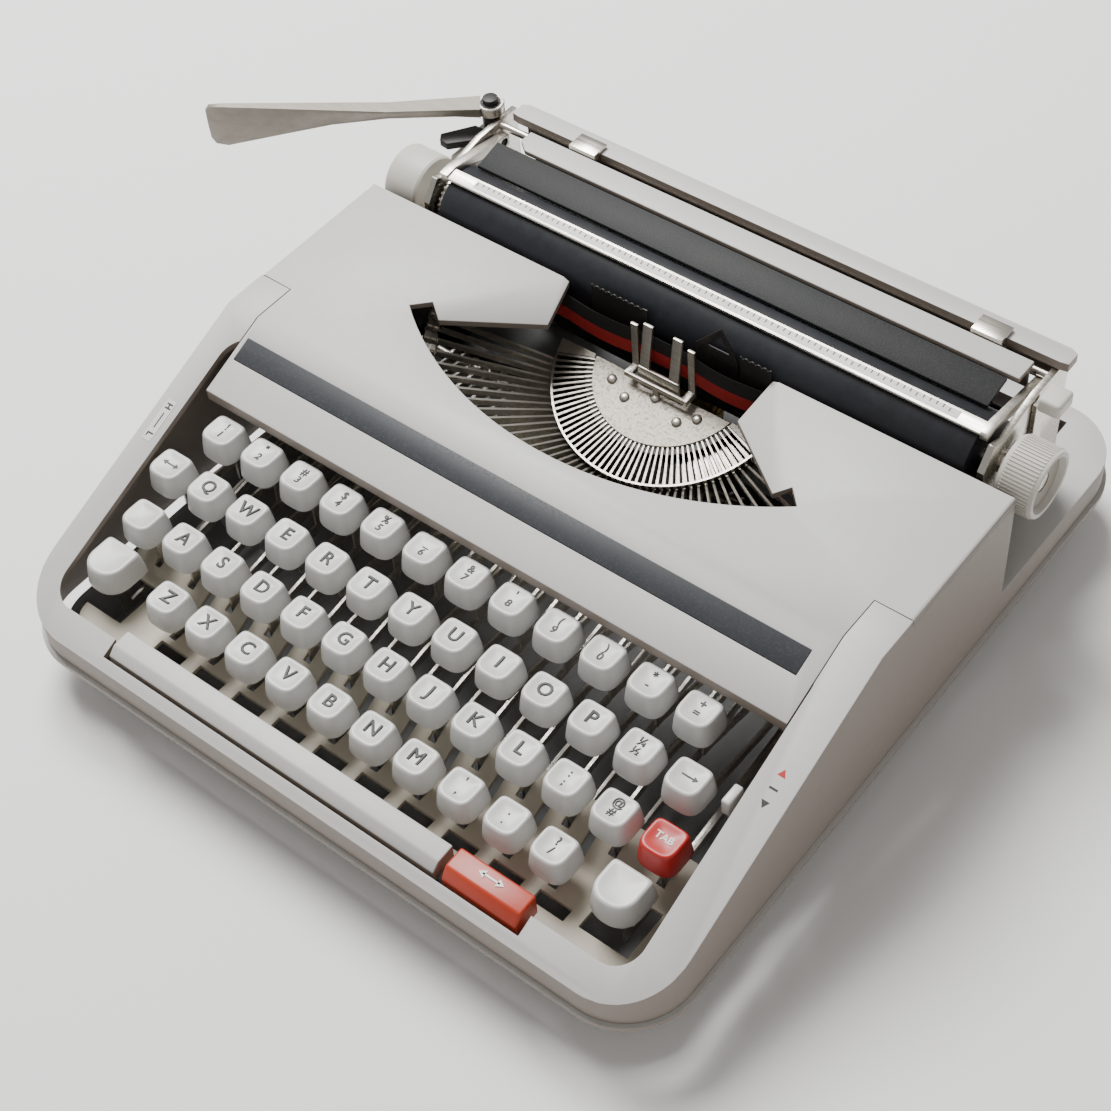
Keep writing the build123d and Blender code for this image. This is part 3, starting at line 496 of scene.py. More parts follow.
def softened(name: str, bm: bmesh.types.BMesh, width: float, segments: int = 2, corner_deg: float = 32.0,
             weight: Callable[[Vector], float] | None = None) -> bpy.types.Object:
    """Piece with its corners rounded over.

    Args:
        name: Piece name.
        bm: Mesh in metres, which is used up.
        width: Width of the rounding, in millimetres.
        segments: Facets across it.
        corner_deg: Only edges that turn more than this are rounded.
        weight: Share of the width for an edge, from its middle in millimetres.

    Returns:
        The new object, with the rounding in its mesh.
    """
    mesh = bpy.data.meshes.new(name)
    bm.normal_update()
    layer = bm.edges.layers.float.new("bevel_weight_edge")
    for edge in bm.edges:
        turned = len(edge.link_faces) == 2 and edge.calc_face_angle(0) > math.radians(corner_deg)
        if turned:
            middle = (edge.verts[0].co + edge.verts[1].co) / 2 / MM
            edge[layer] = 1.0 if weight is None else weight(middle)
    bm.to_mesh(mesh)
    bm.free()
    rough = new_piece(name + "_rough", mesh)
    rounding = rough.modifiers.new("rounding", "BEVEL")
    rounding.limit_method = "WEIGHT"
    rounding.width = width * MM
    rounding.segments = segments
    rounding.use_clamp_overlap = True
    made = bake_modifiers(rough, name)
    bm = bmesh.new()
    bm.from_mesh(made.data)
    smooth_by_angle(bm, 40)
    bm.to_mesh(made.data)
    bm.free()
    return made


def bake_modifiers(rough: bpy.types.Object, name: str) -> bpy.types.Object:
    """Turns an object with modifiers into a plain mesh piece and deletes the original."""
    bpy.context.view_layer.update()
    evaluated = rough.evaluated_get(bpy.context.evaluated_depsgraph_get())
    mesh = bpy.data.meshes.new_from_object(evaluated)
    mesh.name = name
    bpy.data.objects.remove(rough)
    return new_piece(name, mesh)


def box_into(bm: bmesh.types.BMesh, low: Point, high: Point) -> None:
    """Adds a box between two corners, in millimetres."""
    middle = [(a + b) / 2 for a, b in zip(low, high)]
    size = [b - a for a, b in zip(low, high)]
    place = Matrix.Translation(middle) @ Matrix.Diagonal((*size, 1))
    bmesh.ops.create_cube(bm, size=1.0, matrix=place)


def lathe_x(bm: bmesh.types.BMesh, profile: Sequence[tuple[float, float]], y: float, z: float,
            sides: int = 72) -> None:
    """Adds a turned form about an axis along X.

    Args:
        bm: Mesh to add to, in millimetres.
        profile: (x, radius) points from one end to the other; a radius of 0 closes an end.
        y: Axis place.
        z: Axis place.
        sides: Facets round it.
    """
    rings = []
    for x, radius in profile:
        if radius == 0:
            rings.append([bm.verts.new((x, y, z))])
            continue
        turn = [2 * math.pi * k / sides for k in range(sides)]
        rings.append([bm.verts.new((x, y + radius * math.cos(a), z + radius * math.sin(a))) for a in turn])
    join_rings(bm, rings)


def join_rings(bm: bmesh.types.BMesh, rings: Sequence[Sequence[bmesh.types.BMVert]]) -> None:
    """Skins between neighbouring rings, and fans where one of them is a single point."""
    for low, high in zip(rings, rings[1:]):
        count = max(len(low), len(high))
        for k in range(count):
            after = (k + 1) % count
            if len(low) == 1:
                bm.faces.new((low[0], high[after], high[k]))
            elif len(high) == 1:
                bm.faces.new((low[k], low[after], high[0]))
            else:
                bm.faces.new((low[k], low[after], high[after], high[k]))
    bmesh.ops.recalc_face_normals(bm, faces=bm.faces)


# ---- geometry nodes ------------------------------------------------------------------------
class Repeater:
    """Geometry Nodes tree that sets copies of one item on the points of another mesh."""

    def __init__(self) -> None:
        """Builds the tree with its named inputs."""
        tree = bpy.data.node_groups.new("set_copies_on_points", "GeometryNodeTree")
        group_socket(tree, "Geometry", "Geometry")
        group_socket(tree, "Item", "Object")
        group_socket(tree, "Size", "Float", default=1.0)
        group_socket(tree, "Finish", "Material")
        group_socket(tree, "Geometry", "Geometry", out=True)
        link = tree.links.new
        start = node(tree, "NodeGroupInput")
        end = node(tree, "NodeGroupOutput")
        item = node(tree, "GeometryNodeObjectInfo", transform_space="ORIGINAL")
        turn = node(tree, "GeometryNodeInputNamedAttribute", data_type="FLOAT_VECTOR")
        turn.inputs["Name"].default_value = "turn"
        copies = node(tree, "GeometryNodeInstanceOnPoints")
        real = node(tree, "GeometryNodeRealizeInstances")
        paint = node(tree, "GeometryNodeSetMaterial")
        link(start.outputs["Item"], item.inputs["Object"])
        link(start.outputs["Geometry"], copies.inputs["Points"])
        link(item.outputs["Geometry"], copies.inputs["Instance"])
        link(turn.outputs["Attribute"], copies.inputs["Rotation"])
        link(start.outputs["Size"], copies.inputs["Scale"])
        link(copies.outputs["Instances"], real.inputs["Geometry"])
        link(real.outputs["Geometry"], paint.inputs["Geometry"])
        link(start.outputs["Finish"], paint.inputs["Material"])
        link(paint.outputs["Geometry"], end.inputs["Geometry"])
        self.tree = tree
        self.sockets = {s.name: s.identifier for s in tree.interface.items_tree if s.in_out == "INPUT"}

    def spread(self, name: str, item: bpy.types.Object, points: Sequence[Point],
               turns: Sequence[Point] | None, finish: bpy.types.Material) -> bpy.types.Object:
        """Sets copies of an item on points.

        Args:
            name: Name of the finished piece.
            item: What is repeated, modelled round the origin; it is used up.
            points: Places, in millimetres.
            turns: Euler angles for each place, in radians, or None.
            finish: Material of the copies.

        Returns:
            One plain mesh piece.
        """
        mesh = bpy.data.meshes.new(name + "_points")
        mesh.from_pydata([[c * MM for c in p] for p in points], [], [])
        turn = mesh.attributes.new("turn", "FLOAT_VECTOR", "POINT")
        for k, value in enumerate(turns or [(0, 0, 0)] * len(points)):
            turn.data[k].vector = value
        holder = new_piece(name + "_points", mesh)
        work = holder.modifiers.new("copies", "NODES")
        work.node_group = self.tree
        work[self.sockets["Item"]] = item
        work[self.sockets["Size"]] = 1.0
        work[self.sockets["Finish"]] = finish
        made = bake_modifiers(holder, name)
        bpy.data.objects.remove(item)
        return made


# ---- the workshop that the sub-assemblies share -----------------------------------------------
@dataclass
class Workshop:
    """Tools that every sub-assembly uses."""

    paint: Paintshop = field(default_factory=Paintshop)
    repeat: Repeater = field(default_factory=Repeater)

    def fit(self, piece: bpy.types.Object, body: str, finish: str, *stands_for: str) -> bpy.types.Object:
        """Finishes a piece, hangs it on its body and reports it.

        Args:
            piece: The piece.
            body: The body that it moves with.
            finish: Name of its finish.
            stands_for: CAD nodes that it is shown in place of.

        Returns:
            The piece.
        """
        self.paint.dress(piece, finish)
        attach(piece, body)
        if stands_for:
            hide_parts(*stands_for)
        LOG.info("%s on %s, %d faces", piece.name, body, len(piece.data.polygons))
        return piece

    def soften_node(self, node_name: str, body: str, finish: str, width: float = 0.3,
                    segments: int = 2) -> bpy.types.Object:
        """Shows a CAD node through a copy with its corners rounded."""
        piece = softened(node_name + "_shown", cad_copy(node_name), width, segments)
        return self.fit(piece, body, finish, node_name)


def body_of(node_name: str) -> str:
    """Body that a CAD node belongs to."""
    for body, members in frame["record"]["behaviour"]["bodies"].items():
        if node_name in members:
            return body
    raise KeyError(node_name)


# ---- casing --------------------------------------------------------------------------------
@dataclass
class Casing:
    """Plastic casing, its lift-off cover, base and feet."""

    shop: Workshop
    edge_round: float = 3.2
    small_round: float = 0.25
    front_y: float = -148.0
    rim_z: float = 33.0
    slope: float = 51.0 / 126.0
    side_x: float = 139.2
    outside_y: float = 147.2
    deck_y: float = 147.0
    band_z: float = 25.0
    top_z: float = 83.0
    low_share: float = 0.22
    cover_round: float = 2.3
    cover_share: float = 0.2

    def slope_z(self, y: float) -> float:
        """Height of the sloping front at y."""
        return self.rim_z + self.slope * (y - self.front_y)

    def build(self) -> None:
        """Makes all casing pieces."""
        self.shell()
        self.cover()
        self.shop.soften_node("cover_strip", "cover", "strip", 0.12)
        self.shop.soften_node("base_pan", "chassis", "base", 0.8)
        self.shop.soften_node("rubber_feet", "chassis", "rubber", 0.6)
        self.touch_label()
        self.colour_marks()

    def outer_edge(self, middle: Vector) -> float:
        """Share of the rounding for an edge of the casing: full on the outside, little inside."""
        outside = abs(middle.x) > self.side_x or abs(middle.y) > self.outside_y
        if outside and middle.z > self.band_z:
            return 1.0
        if abs(middle.x) > self.side_x or middle.y > self.deck_y:
            return self.low_share
        return self.small_round

    def shell(self) -> None:
        """Main shell with soft outer edges."""
        piece = softened("body_shell_shown", cad_copy("body_shell"), self.edge_round, 4, 24,
                         self.outer_edge)
        self.shop.fit(piece, "chassis", "casing", "body_shell")

    def cover(self) -> None:
        """Ribbon cover with its edges just broken, and softer where it meets the sides."""
        def share(middle: Vector) -> float:
            """Share of the rounding for an edge of the cover."""
            return 1.0 if abs(middle.x) > self.side_x and middle.z > self.top_z else self.cover_share

        piece = softened("ribbon_cover_shown", cad_copy("ribbon_cover"), self.cover_round, 3, 30, share)
        self.shop.fit(piece, "cover", "casing", "ribbon_cover")

    def on_slope(self, name: str, bm: bmesh.types.BMesh, x: float, y: float, finish: str) -> None:
        """Lays a flat form, drawn round the origin, on the sloping front."""
        tilt = math.atan(self.slope)
        place = Matrix.Translation((x, y, self.slope_z(y) + 0.03)) @ Matrix.Rotation(tilt, 4, "X")
        bmesh.ops.transform(bm, matrix=place, verts=bm.verts)
        self.shop.fit(from_bmesh(name, bm), "chassis", finish)

    def touch_label(self) -> None:
        """Small sticker beside the keys that shows heavy to light touch."""
        x, y = -134.6, -69.0
        bm = bmesh.new()
        box_into(bm, (-2.1, -8.5, -0.05), (2.1, 8.5, 0.12))
        self.on_slope("touch_label", bm, x, y, "sticker")
        bm = bmesh.new()
        box_into(bm, (-0.25, -3.2, 0.1), (0.25, 3.2, 0.2))
        for sign in (-1, 1):
            low, high = sorted((sign * 1.3, sign * 1.6))
            box_into(bm, (low, -7.4, 0.1), (high, -7.2, 0.2))
        self.on_slope("touch_label_line", bm, x, y, "legend")
        for letter, dy in (("H", 5.6), ("L", -5.6)):
            text = flat_text(letter, 3.6, 0.12)
            tilt = math.atan(self.slope)
            place = (Matrix.Translation(Vector((x, y + dy, self.slope_z(y + dy) + 0.2)) * MM)
                     @ Matrix.Rotation(tilt, 4, "X") @ Matrix.Rotation(-math.pi / 2, 4, "Z"))
            text.data.transform(place)
            text.name = f"touch_label_{letter}"
            self.shop.fit(text, "chassis", "legend")

    def colour_marks(self) -> None:
        """Printed marks beside the ribbon colour selector."""
        x = 133.0
        for name, y, turn, finish in (("mark_red", -65.3, 0.0, "red_ink"),
                                      ("mark_black", -75.0, math.pi, "legend")):
            bm = bmesh.new()
            bmesh.ops.create_cone(bm, cap_ends=True, segments=3, radius1=1.7, radius2=1.7, depth=0.1,
                                  matrix=Matrix.Rotation(turn, 4, "Z"))
            self.on_slope(name, bm, x, y, finish)
        bm = bmesh.new()
        box_into(bm, (-1.5, -0.35, -0.02), (1.5, 0.35, 0.08))
        self.on_slope("mark_stencil", bm, x, -70.2, "legend")


def flat_text(words: str, height: float, thick: float) -> bpy.types.Object:
    """Lettering as a mesh in metres, centred on the origin in the XY plane.

    Args:
        words: Lettering.
        height: Size, in millimetres.
        thick: Thickness, in millimetres.

    Returns:
        The new object.
    """
    curve = bpy.data.curves.new("lettering", "FONT")
    curve.body = words
    curve.size = height
    curve.extrude = thick / 2
    curve.resolution_u = 3
    curve.bevel_depth = STROKE_SHARE * height
    curve.bevel_resolution = 0
    curve.align_x = "CENTER"
    curve.align_y = "CENTER"
    curve.space_line = LINE_SPACING
    holder = bpy.data.objects.new("lettering", curve)
    bpy.context.scene.collection.objects.link(holder)
    made = bake_modifiers(holder, "lettering_mesh")
    made.data.transform(Matrix.Scale(MM, 4))
    bpy.data.curves.remove(curve)
    return made


# ---- keyboard ------------------------------------------------------------------------------
@dataclass(frozen=True)
class CapShape:
    """Moulded key cap: size at the skirt and how square its back and front are."""

    width: float = 15.0
    depth: float = 14.6
    height: float = 9.5
    back_square: float = 0.34
    front_square: float = 0.62
    dish: float = 0.7

    def ring(self, share: float, z: float, sides: int) -> list[Point]:
        """Points of one outline, drawn in to a share of the skirt."""
        points = []
        for k in range(sides):
            angle = 2 * math.pi * (k + 0.5) / sides
            c, s = math.cos(angle), math.sin(angle)
            power = self.back_square if s > 0 else self.front_square
            x = math.copysign(abs(c) ** power, c) * self.width / 2 * share
            y = math.copysign(abs(s) ** power, s) * self.depth / 2 * share
            points.append((x, y + 0.5 * (1 - share), z))
        return points

    def dish_z(self, x: float, y: float) -> float:
        """Depth of the finger dish at a place on the top."""
        radius = math.hypot(x / self.width, y / self.depth) * 2 / 0.7
        return -self.dish * max(0.0, 1 - radius * radius)

    def mesh(self, name: str, sides: int = 44) -> bpy.types.Object:
        """Cap round the origin, which is the middle of its top."""
        bm = bmesh.new()
        profile = [(0.93, -self.height), (0.985, -self.height), (1.0, -self.height + 0.5), (0.955, -5.6),
                   (0.90, -2.6), (0.865, -1.0), (0.835, -0.35), (0.79, -0.06), (0.74, 0.0), (0.68, -0.06)]
        profile += [(share, self.dish_z(share * self.width / 2, 0) - 0.06) for share in (0.55, 0.36, 0.18)]
        rings = [[bm.verts.new(p) for p in self.ring(share, z, sides)] for share, z in profile]
        rings.insert(0, [bm.verts.new((0, 0, -self.height + 1.0))])
        rings.append([bm.verts.new((0, 0.4, -self.dish - 0.06))])
        join_rings(bm, rings)
        return from_bmesh(name, bm, 60)


@dataclass(frozen=True)
class KeyRow:
    """One row of character keys."""

    name: str
    first_x: float
    y: float
    top: float
    legends: tuple[str, ...]


class Arrow(Enum):
    """Arrow legends."""

    LEFT_RIGHT = "both"
    RIGHT = "right"


@dataclass
class Keyboard:
    """Keys, levers, space bars and the plate under them."""

    shop: Workshop
    pitch: float = 19.0
    letter: float = 7.0
    tab_letter: float = 3.7
    two_line_share: float = 0.60
    left_x: float = -120.9
    lock_x: float = -117.5
    lock_top: float = 52.0
    shift_top: float = 46.0
    shift_places: tuple[tuple[str, float, float], ...] = (
        ("shift_key_left", -117.5, -116.3), ("shift_key_right", 108.4, -116.5))
    repeat_place: Point = (72.2, -135.6, 40.6)
    ink: float = 0.06
    legend_back: float = 0.6
    dish_back: float = 0.4
    cap: CapShape = CapShape()
    shift_cap: CapShape = CapShape(18.0, 18.0, 9.5, 0.20, 0.86, 0.5)
    rows: tuple[KeyRow, ...] = (
        KeyRow("key_row_1", -111.4, -60.0, 65.7,
               ("!\n1", "\"\n2", "#\n3", "$\n4", "%\n5", "_\n6", "&\n7", "'\n8", "(\n9", ")\n0",
                "*\n-", "+\n=")),
        KeyRow("key_row_2", -101.9, -79.1, 59.2, tuple("QWERTYUIOP") + ("¼\n½",)),
        KeyRow("key_row_3", -97.2, -98.2, 52.6, tuple("ASDFGHJKL") + (":\n;", "@\n#")),
        KeyRow("key_row_4", -87.7, -117.3, 46.05, tuple("ZXCVBNM") + ("'\n,", ".\n.", "?\n/")),
    )

    def build(self) -> None:
        """Makes all keyboard pieces."""
        for row in self.rows:
            self.row(row)
        row_2, row_3 = self.rows[1], self.rows[2]
        tab_x = row_3.first_x + 11 * self.pitch
        back_x = row_2.first_x + 11 * self.pitch
        self.single("tab_key", "tab_key", tab_x, row_3.y, row_3.top, "red_key")
        self.lettering("tab_legend", "tab_key", [("TAB", tab_x, row_3.y, row_3.top)], self.tab_letter,
                       "white_ink")
        self.single("backspace_key", "backspace_key", back_x, row_2.y, row_2.top, "key")
        self.arrow("backspace_arrow", "backspace_key", back_x, row_2.y, row_2.top, Arrow.RIGHT, "legend")
        self.single("margin_release_key", "margin_release_key", self.left_x, row_2.y, row_2.top, "key")
        self.arrow("margin_arrow", "margin_release_key", self.left_x, row_2.y, row_2.top,
                   Arrow.LEFT_RIGHT, "legend")
        self.single("shift_lock_key", "shift_lock_key", self.lock_x, row_3.y, self.lock_top, "key")
        for name, x, y in self.shift_places:
            self.single(name, "shift_keys", x, y, self.shift_top, "key", self.shift_cap)
        self.bar("space_bar", "space_bar", "casing", 0.6)
        self.bar("repeat_space_key", "repeat_space_key", "orange_key", 0.9)
        self.arrow("repeat_arrow", "repeat_space_key", *self.repeat_place, Arrow.LEFT_RIGHT,
                   "white_ink", 1.15)
        self.shop.soften_node("keyboard_plate", "chassis", "plate", 0.3)
        tab = softened("selector_tab", cad_copy("colour_selector", lambda low, high: low.z > 50), 0.7, 3)
        wire = softened("selector_wire", cad_copy("colour_selector", lambda low, high: low.z < 50), 0.1, 1)
        self.shop.fit(tab, "selector", "key", "colour_selector")
        self.shop.fit(wire, "selector", "bright_steel")

    def levers(self, node_name: str, body: str) -> None:
        """Sheet metal levers of a CAD key node."""
        piece = softened(node_name + "_levers",
                         cad_copy(node_name, lambda low, high: high.x - low.x < 2.5), 0.15, 1)
        self.shop.fit(piece, body, "bright_steel")

    def row(self, row: KeyRow) -> None:
        """Caps, legends and levers of one row, with the two keys that move alone left to themselves."""
        alone = {"F": "key_f", "J": "key_j"}
        places, marks = [], []
        for k, legend in enumerate(row.legends):
            x = row.first_x + k * self.pitch
            if legend in alone:
                self.single(alone[legend], alone[legend], x, row.y, row.top, "key")
                self.lettering(f"legend_{legend}", alone[legend], [(legend, x, row.y, row.top)],
                               self.letter, "legend")
                continue
            places.append((x, row.y, row.top))
            marks.append((legend, x, row.y, row.top))
        caps = self.shop.repeat.spread(row.name + "_caps", self.cap.mesh("one_cap"), places, None,
                                       self.shop.paint.material("key"))
        self.shop.fit(caps, row.name, "key", row.name)
        self.lettering(row.name + "_legends", row.name, marks, self.letter, "legend")
        self.levers(row.name, row.name)

    def single(self, node_name: str, body: str, x: float, y: float, top: float, finish: str,
               shape: CapShape | None = None) -> None:
        """One key that has a node of its own."""
        cap = (shape or self.cap).mesh(node_name + "_cap")
        cap.data.transform(Matrix.Translation(Vector((x, y, top)) * MM))
        self.shop.fit(cap, body, finish, node_name)
        self.levers(node_name, body)

    def lettering(self, name: str, body: str, marks: Iterable[tuple[str, float, float, float]],
                  height: float, finish: str) -> None:
        """Legends laid into the finger dishes.

        Args:
            name: Piece name.
            body: Body of the keys.
            marks: (legend, x, y, top) of each key.
            height: Size of a single letter; two-line legends are smaller.
            finish: Finish of the ink.
        """
        bm = bmesh.new()
        for legend, x, y, top in marks:
            size = height * (self.two_line_share if "\n" in legend else 1.0)
            text = flat_text(legend, size, self.ink)
            part = bmesh.new()
            part.from_mesh(text.data)
            bpy.data.objects.remove(text)
            for vert in part.verts:
                u, v = vert.co.x / MM, vert.co.y / MM
                depth = self.cap.dish_z(u, v + self.dish_back)
                vert.co = Vector((x + u, y + self.legend_back + v, top + depth + 0.02 + vert.co.z / MM))
            mesh = bpy.data.meshes.new("part")
            part.to_mesh(mesh)
            part.free()
            bm.from_mesh(mesh)
            bpy.data.meshes.remove(mesh)
        self.shop.fit(from_bmesh(name, bm), body, finish)

    def arrow(self, name: str, body: str, x: float, y: float, top: float, kind: Arrow, finish: str,
              size: float = 0.85) -> None:
        """Arrow legend with one or two heads."""
        bm = bmesh.new()
        half = self.ink / 2
        box_into(bm, (-3.0, -0.3, -half), (3.0, 0.3, half))
        for sign in (-1, 1) if kind is Arrow.LEFT_RIGHT else (1,):
            corners = [(sign * 4.4, 0.0), (sign * 2.2, 1.35), (sign * 2.2, -1.35)]
            low = [bm.verts.new((*c, -half)) for c in corners]
            high = [bm.verts.new((*c, half)) for c in corners]
            bm.faces.new(low)
            bm.faces.new(high)
            for k in range(3):
                bm.faces.new((low[k], low[(k + 1) % 3], high[(k + 1) % 3], high[k]))
        bmesh.ops.recalc_face_normals(bm, faces=bm.faces)
        flat = body == "repeat_space_key"
        for vert in bm.verts:
            u, v = vert.co.x * size, vert.co.y * size
            depth = -0.75 if flat else self.cap.dish_z(u, v + self.dish_back)
            vert.co = Vector((x + u, y + self.legend_back + v, top + depth + half + vert.co.z))
        self.shop.fit(from_bmesh(name, bm), body, finish)

    def bar(self, node_name: str, body: str, finish: str, rounding: float) -> None:
        """Long key: its moulded bar and its steel legs."""
        bar = softened(node_name + "_bar",
                       cad_copy(node_name, lambda low, high: high.x - low.x > 5), rounding, 3, 12)
        legs = softened(node_name + "_legs",
                        cad_copy(node_name, lambda low, high: high.x - low.x < 5), 0.15, 1)
        self.shop.fit(bar, body, finish, node_name)
        self.shop.fit(legs, body, "bright_steel")


# ---- typebars ------------------------------------------------------------------------------
@dataclass
class TypeBasket:
    """Segment, typebars, guide and line scales."""

    shop: Workshop
    count: int = 44
    fan_deg: float = 70.0
    pivot_radius: float = 44.0
    rest_deg: float = 32.0
    tilt_deg: float = 18.0
    print_y: float = 53.5
    print_z: float = 82.0
    print_height: float = 30.0
    comb_inner: float = 31.0
    comb_outer: float = 46.6
    comb_low: float = 5.0
    comb_high: float = 6.45
    tooth_half: float = 0.46
    tooth_taper: float = 0.62
    lone: tuple[tuple[int, str], ...] = ((21, "typebar_f"), (24, "typebar_j"))

    def __post_init__(self) -> None:
        """Works out the segment plane."""
        tilt = math.radians(self.tilt_deg)
        self.centre = Vector((0, self.print_y + self.print_height * math.sin(tilt),
                              self.print_z - self.print_height * math.cos(tilt)))
        self.length = math.hypot(self.pivot_radius, self.print_height)
        self.plane = Matrix.Translation(self.centre) @ Matrix.Rotation(tilt, 4, "X")

    def build(self) -> None:
        """Makes the basket's pieces."""
        self.segment()
        self.bars()
        self.shop.soften_node("type_guide", "chassis", "bright_steel", 0.2)
        self.shop.soften_node("ribbon_vibrator", "vibrator", "bright_steel", 0.2)
        self.shop.soften_node("line_scales", "chassis", "enamel", 0.08, 1)

    def angle(self, k: int) -> float:
        """Angle of a typebar from the front, in radians."""
        return math.radians(-self.fan_deg + k * 2 * self.fan_deg / (self.count - 1))

    def bar_mesh(self, name: str) -> bpy.types.Object:
        """One typebar at rest with its pivot at the origin, pointing along -Y before it is fanned.

        Returns:
            The new object, whose mesh is in metres.
        """
        bm = bmesh.new()
        half = 0.42
        rest = math.radians(self.rest_deg)
        heel = [(9.3, -1.0), (9.3, 2.6), (0.0, 3.2), (-2.0, 3.0)]
        web = [(-self.length + 4.0, 1.7), (-self.length + 4.0, -1.5), (-8.0, -1.9)]
        foot = [(0.0, -2.4), (4.0, -2.2)]

        def turned(p: tuple[float, float]) -> tuple[float, float]:
            """Point of the bar's side outline, lowered by the rest angle."""
            return (p[0] * math.cos(rest) + p[1] * math.sin(rest),
                    -p[0] * math.sin(rest) + p[1] * math.cos(rest))

        outline = heel + [turned((-6.0, 1.9))] + [turned(p) for p in web] + foot
        low = [bm.verts.new((-half, y, z)) for y, z in outline]
        high = [bm.verts.new((half, y, z)) for y, z in outline]
        bm.faces.new(low)
        bm.faces.new(list(reversed(high)))
        for k in range(len(outline)):
            after = (k + 1) % len(outline)
            bm.faces.new((low[k], high[k], high[after], low[after]))
        slug = bmesh.new()
        reach = -self.length
        box_into(slug, (-1.45, reach - 1.5, -2.4), (1.45, reach + 3.4, 2.6))
        box_into(slug, (-1.1, reach - 1.2, 2.6), (1.1, reach + 0.6, 3.6))
        box_into(slug, (-1.1, reach + 1.2, 2.6), (1.1, reach + 3.0, 3.6))
        bmesh.ops.transform(slug, matrix=Matrix.Rotation(-rest, 4, "X"), verts=slug.verts)
        mesh = bpy.data.meshes.new("slug")
        slug.to_mesh(mesh)
        slug.free()
        bm.from_mesh(mesh)
        bpy.data.meshes.remove(mesh)
        bmesh.ops.recalc_face_normals(bm, faces=bm.faces)
        return from_bmesh(name, bm, 30)

    def place(self, k: int) -> Matrix:
        """Place of a typebar's pivot and fan angle, in millimetres."""
        out = Matrix.Translation((0, -self.pivot_radius, 0))
        return self.plane @ Matrix.Rotation(self.angle(k), 4, "Z") @ out

    def bars(self) -> None:
        """Fan of typebars at rest, and the two that swing on their own."""
        alone = dict(self.lone)
        points, turns = [], []
        for k in range(self.count):
            if k in alone:
                continue
            spot = self.place(k)
            points.append(tuple(spot.to_translation()))
            turns.append(tuple(spot.to_euler("XYZ")))
        fan = self.shop.repeat.spread("typebar_fan", self.bar_mesh("one_bar"), points, turns,
                                      self.shop.paint.material("bright_steel"))
        self.shop.fit(fan, "chassis", "bright_steel", "typebars")
        for k, node_name in self.lone:
            bar = self.bar_mesh(node_name + "_shown")
            spot = self.place(k)
            spot.translation *= MM
            bar.data.transform(spot)
            self.shop.fit(bar, node_name, "bright_steel", node_name)

    def flat_form(self, name: str, outline: Sequence[tuple[float, float]], low_z: float, high_z: float,
                  finish: str, shrink: float = 0.985) -> None:
        """Flat form in the segment plane with its upper edge drawn in a little."""
        bm = bmesh.new()
        low = [bm.verts.new((x, y, low_z)) for x, y in outline]
        high = [bm.verts.new((x * shrink, y * shrink, high_z)) for x, y in outline]
        bm.faces.new(low)
        bm.faces.new(high)
        for k in range(len(outline)):
            after = (k + 1) % len(outline)
            bm.faces.new((low[k], low[after], high[after], high[k]))
        bmesh.ops.recalc_face_normals(bm, faces=bm.faces)
        bmesh.ops.transform(bm, matrix=self.plane, verts=bm.verts)
        self.shop.fit(from_bmesh(name, bm), "chassis", finish)

    @staticmethod
    def arc(radius: float, start_deg: float, stop_deg: float, steps: int = 48) -> list[tuple[float, float]]:
        """Points along an arc of the segment, counted from the front."""
        turns = [math.radians(start_deg + (stop_deg - start_deg) * k / steps) for k in range(steps + 1)]
        return [(radius * math.sin(a), -radius * math.cos(a)) for a in turns]

    def segment(self) -> None:
        """Half ring: dark body, bright comb, rim, cap plate, end plates and fasteners."""
        body = softened("segment_body", cad_copy("segment"), 0.1, 1)
        self.shop.fit(body, "chassis", "comb_shade", "segment")
        tooth = bmesh.new()
        box_into(tooth, (-self.tooth_half, -self.comb_outer, self.comb_low),
                 (self.tooth_half, -self.comb_inner, self.comb_high))
        for vert in tooth.verts:
            if vert.co.y > -(self.comb_inner + self.comb_outer) / 2:
                vert.co.x *= self.tooth_taper
        item = from_bmesh("one_tooth", tooth)
        half_step = self.fan_deg / (self.count - 1)
        turns = []
        for k in range(-1, self.count):
            spot = self.plane @ Matrix.Rotation(self.angle(k) + math.radians(half_step), 4, "Z")
            turns.append(tuple(spot.to_euler("XYZ")))
        comb = self.shop.repeat.spread("segment_comb", item, [tuple(self.centre)] * len(turns), turns,
                                       self.shop.paint.material("comb_steel"))
        self.shop.fit(comb, "chassis", "comb_steel")
        self.flat_form("segment_rim", self.arc(46.9, -72, 72) + self.arc(46.2, 72, -72), 4.0, 6.6,
                       "bright_steel", 1.0)
        self.flat_form("segment_cap", self.arc(31.5, -74, 74), 5.9, 6.9, "segment")
        for side, sign in (("left", -1), ("right", 1)):
            end = [(31.7, 72.5), (46.9, 72.5), (46.9, 79.8), (31.7, 75.2)]
            corners = [(sign * r * math.sin(math.radians(a)), -r * math.cos(math.radians(a)))
                       for r, a in end]
            self.flat_form(f"segment_end_{side}", corners, 5.0, 6.7, "segment", 1.0)
        self.fasteners()

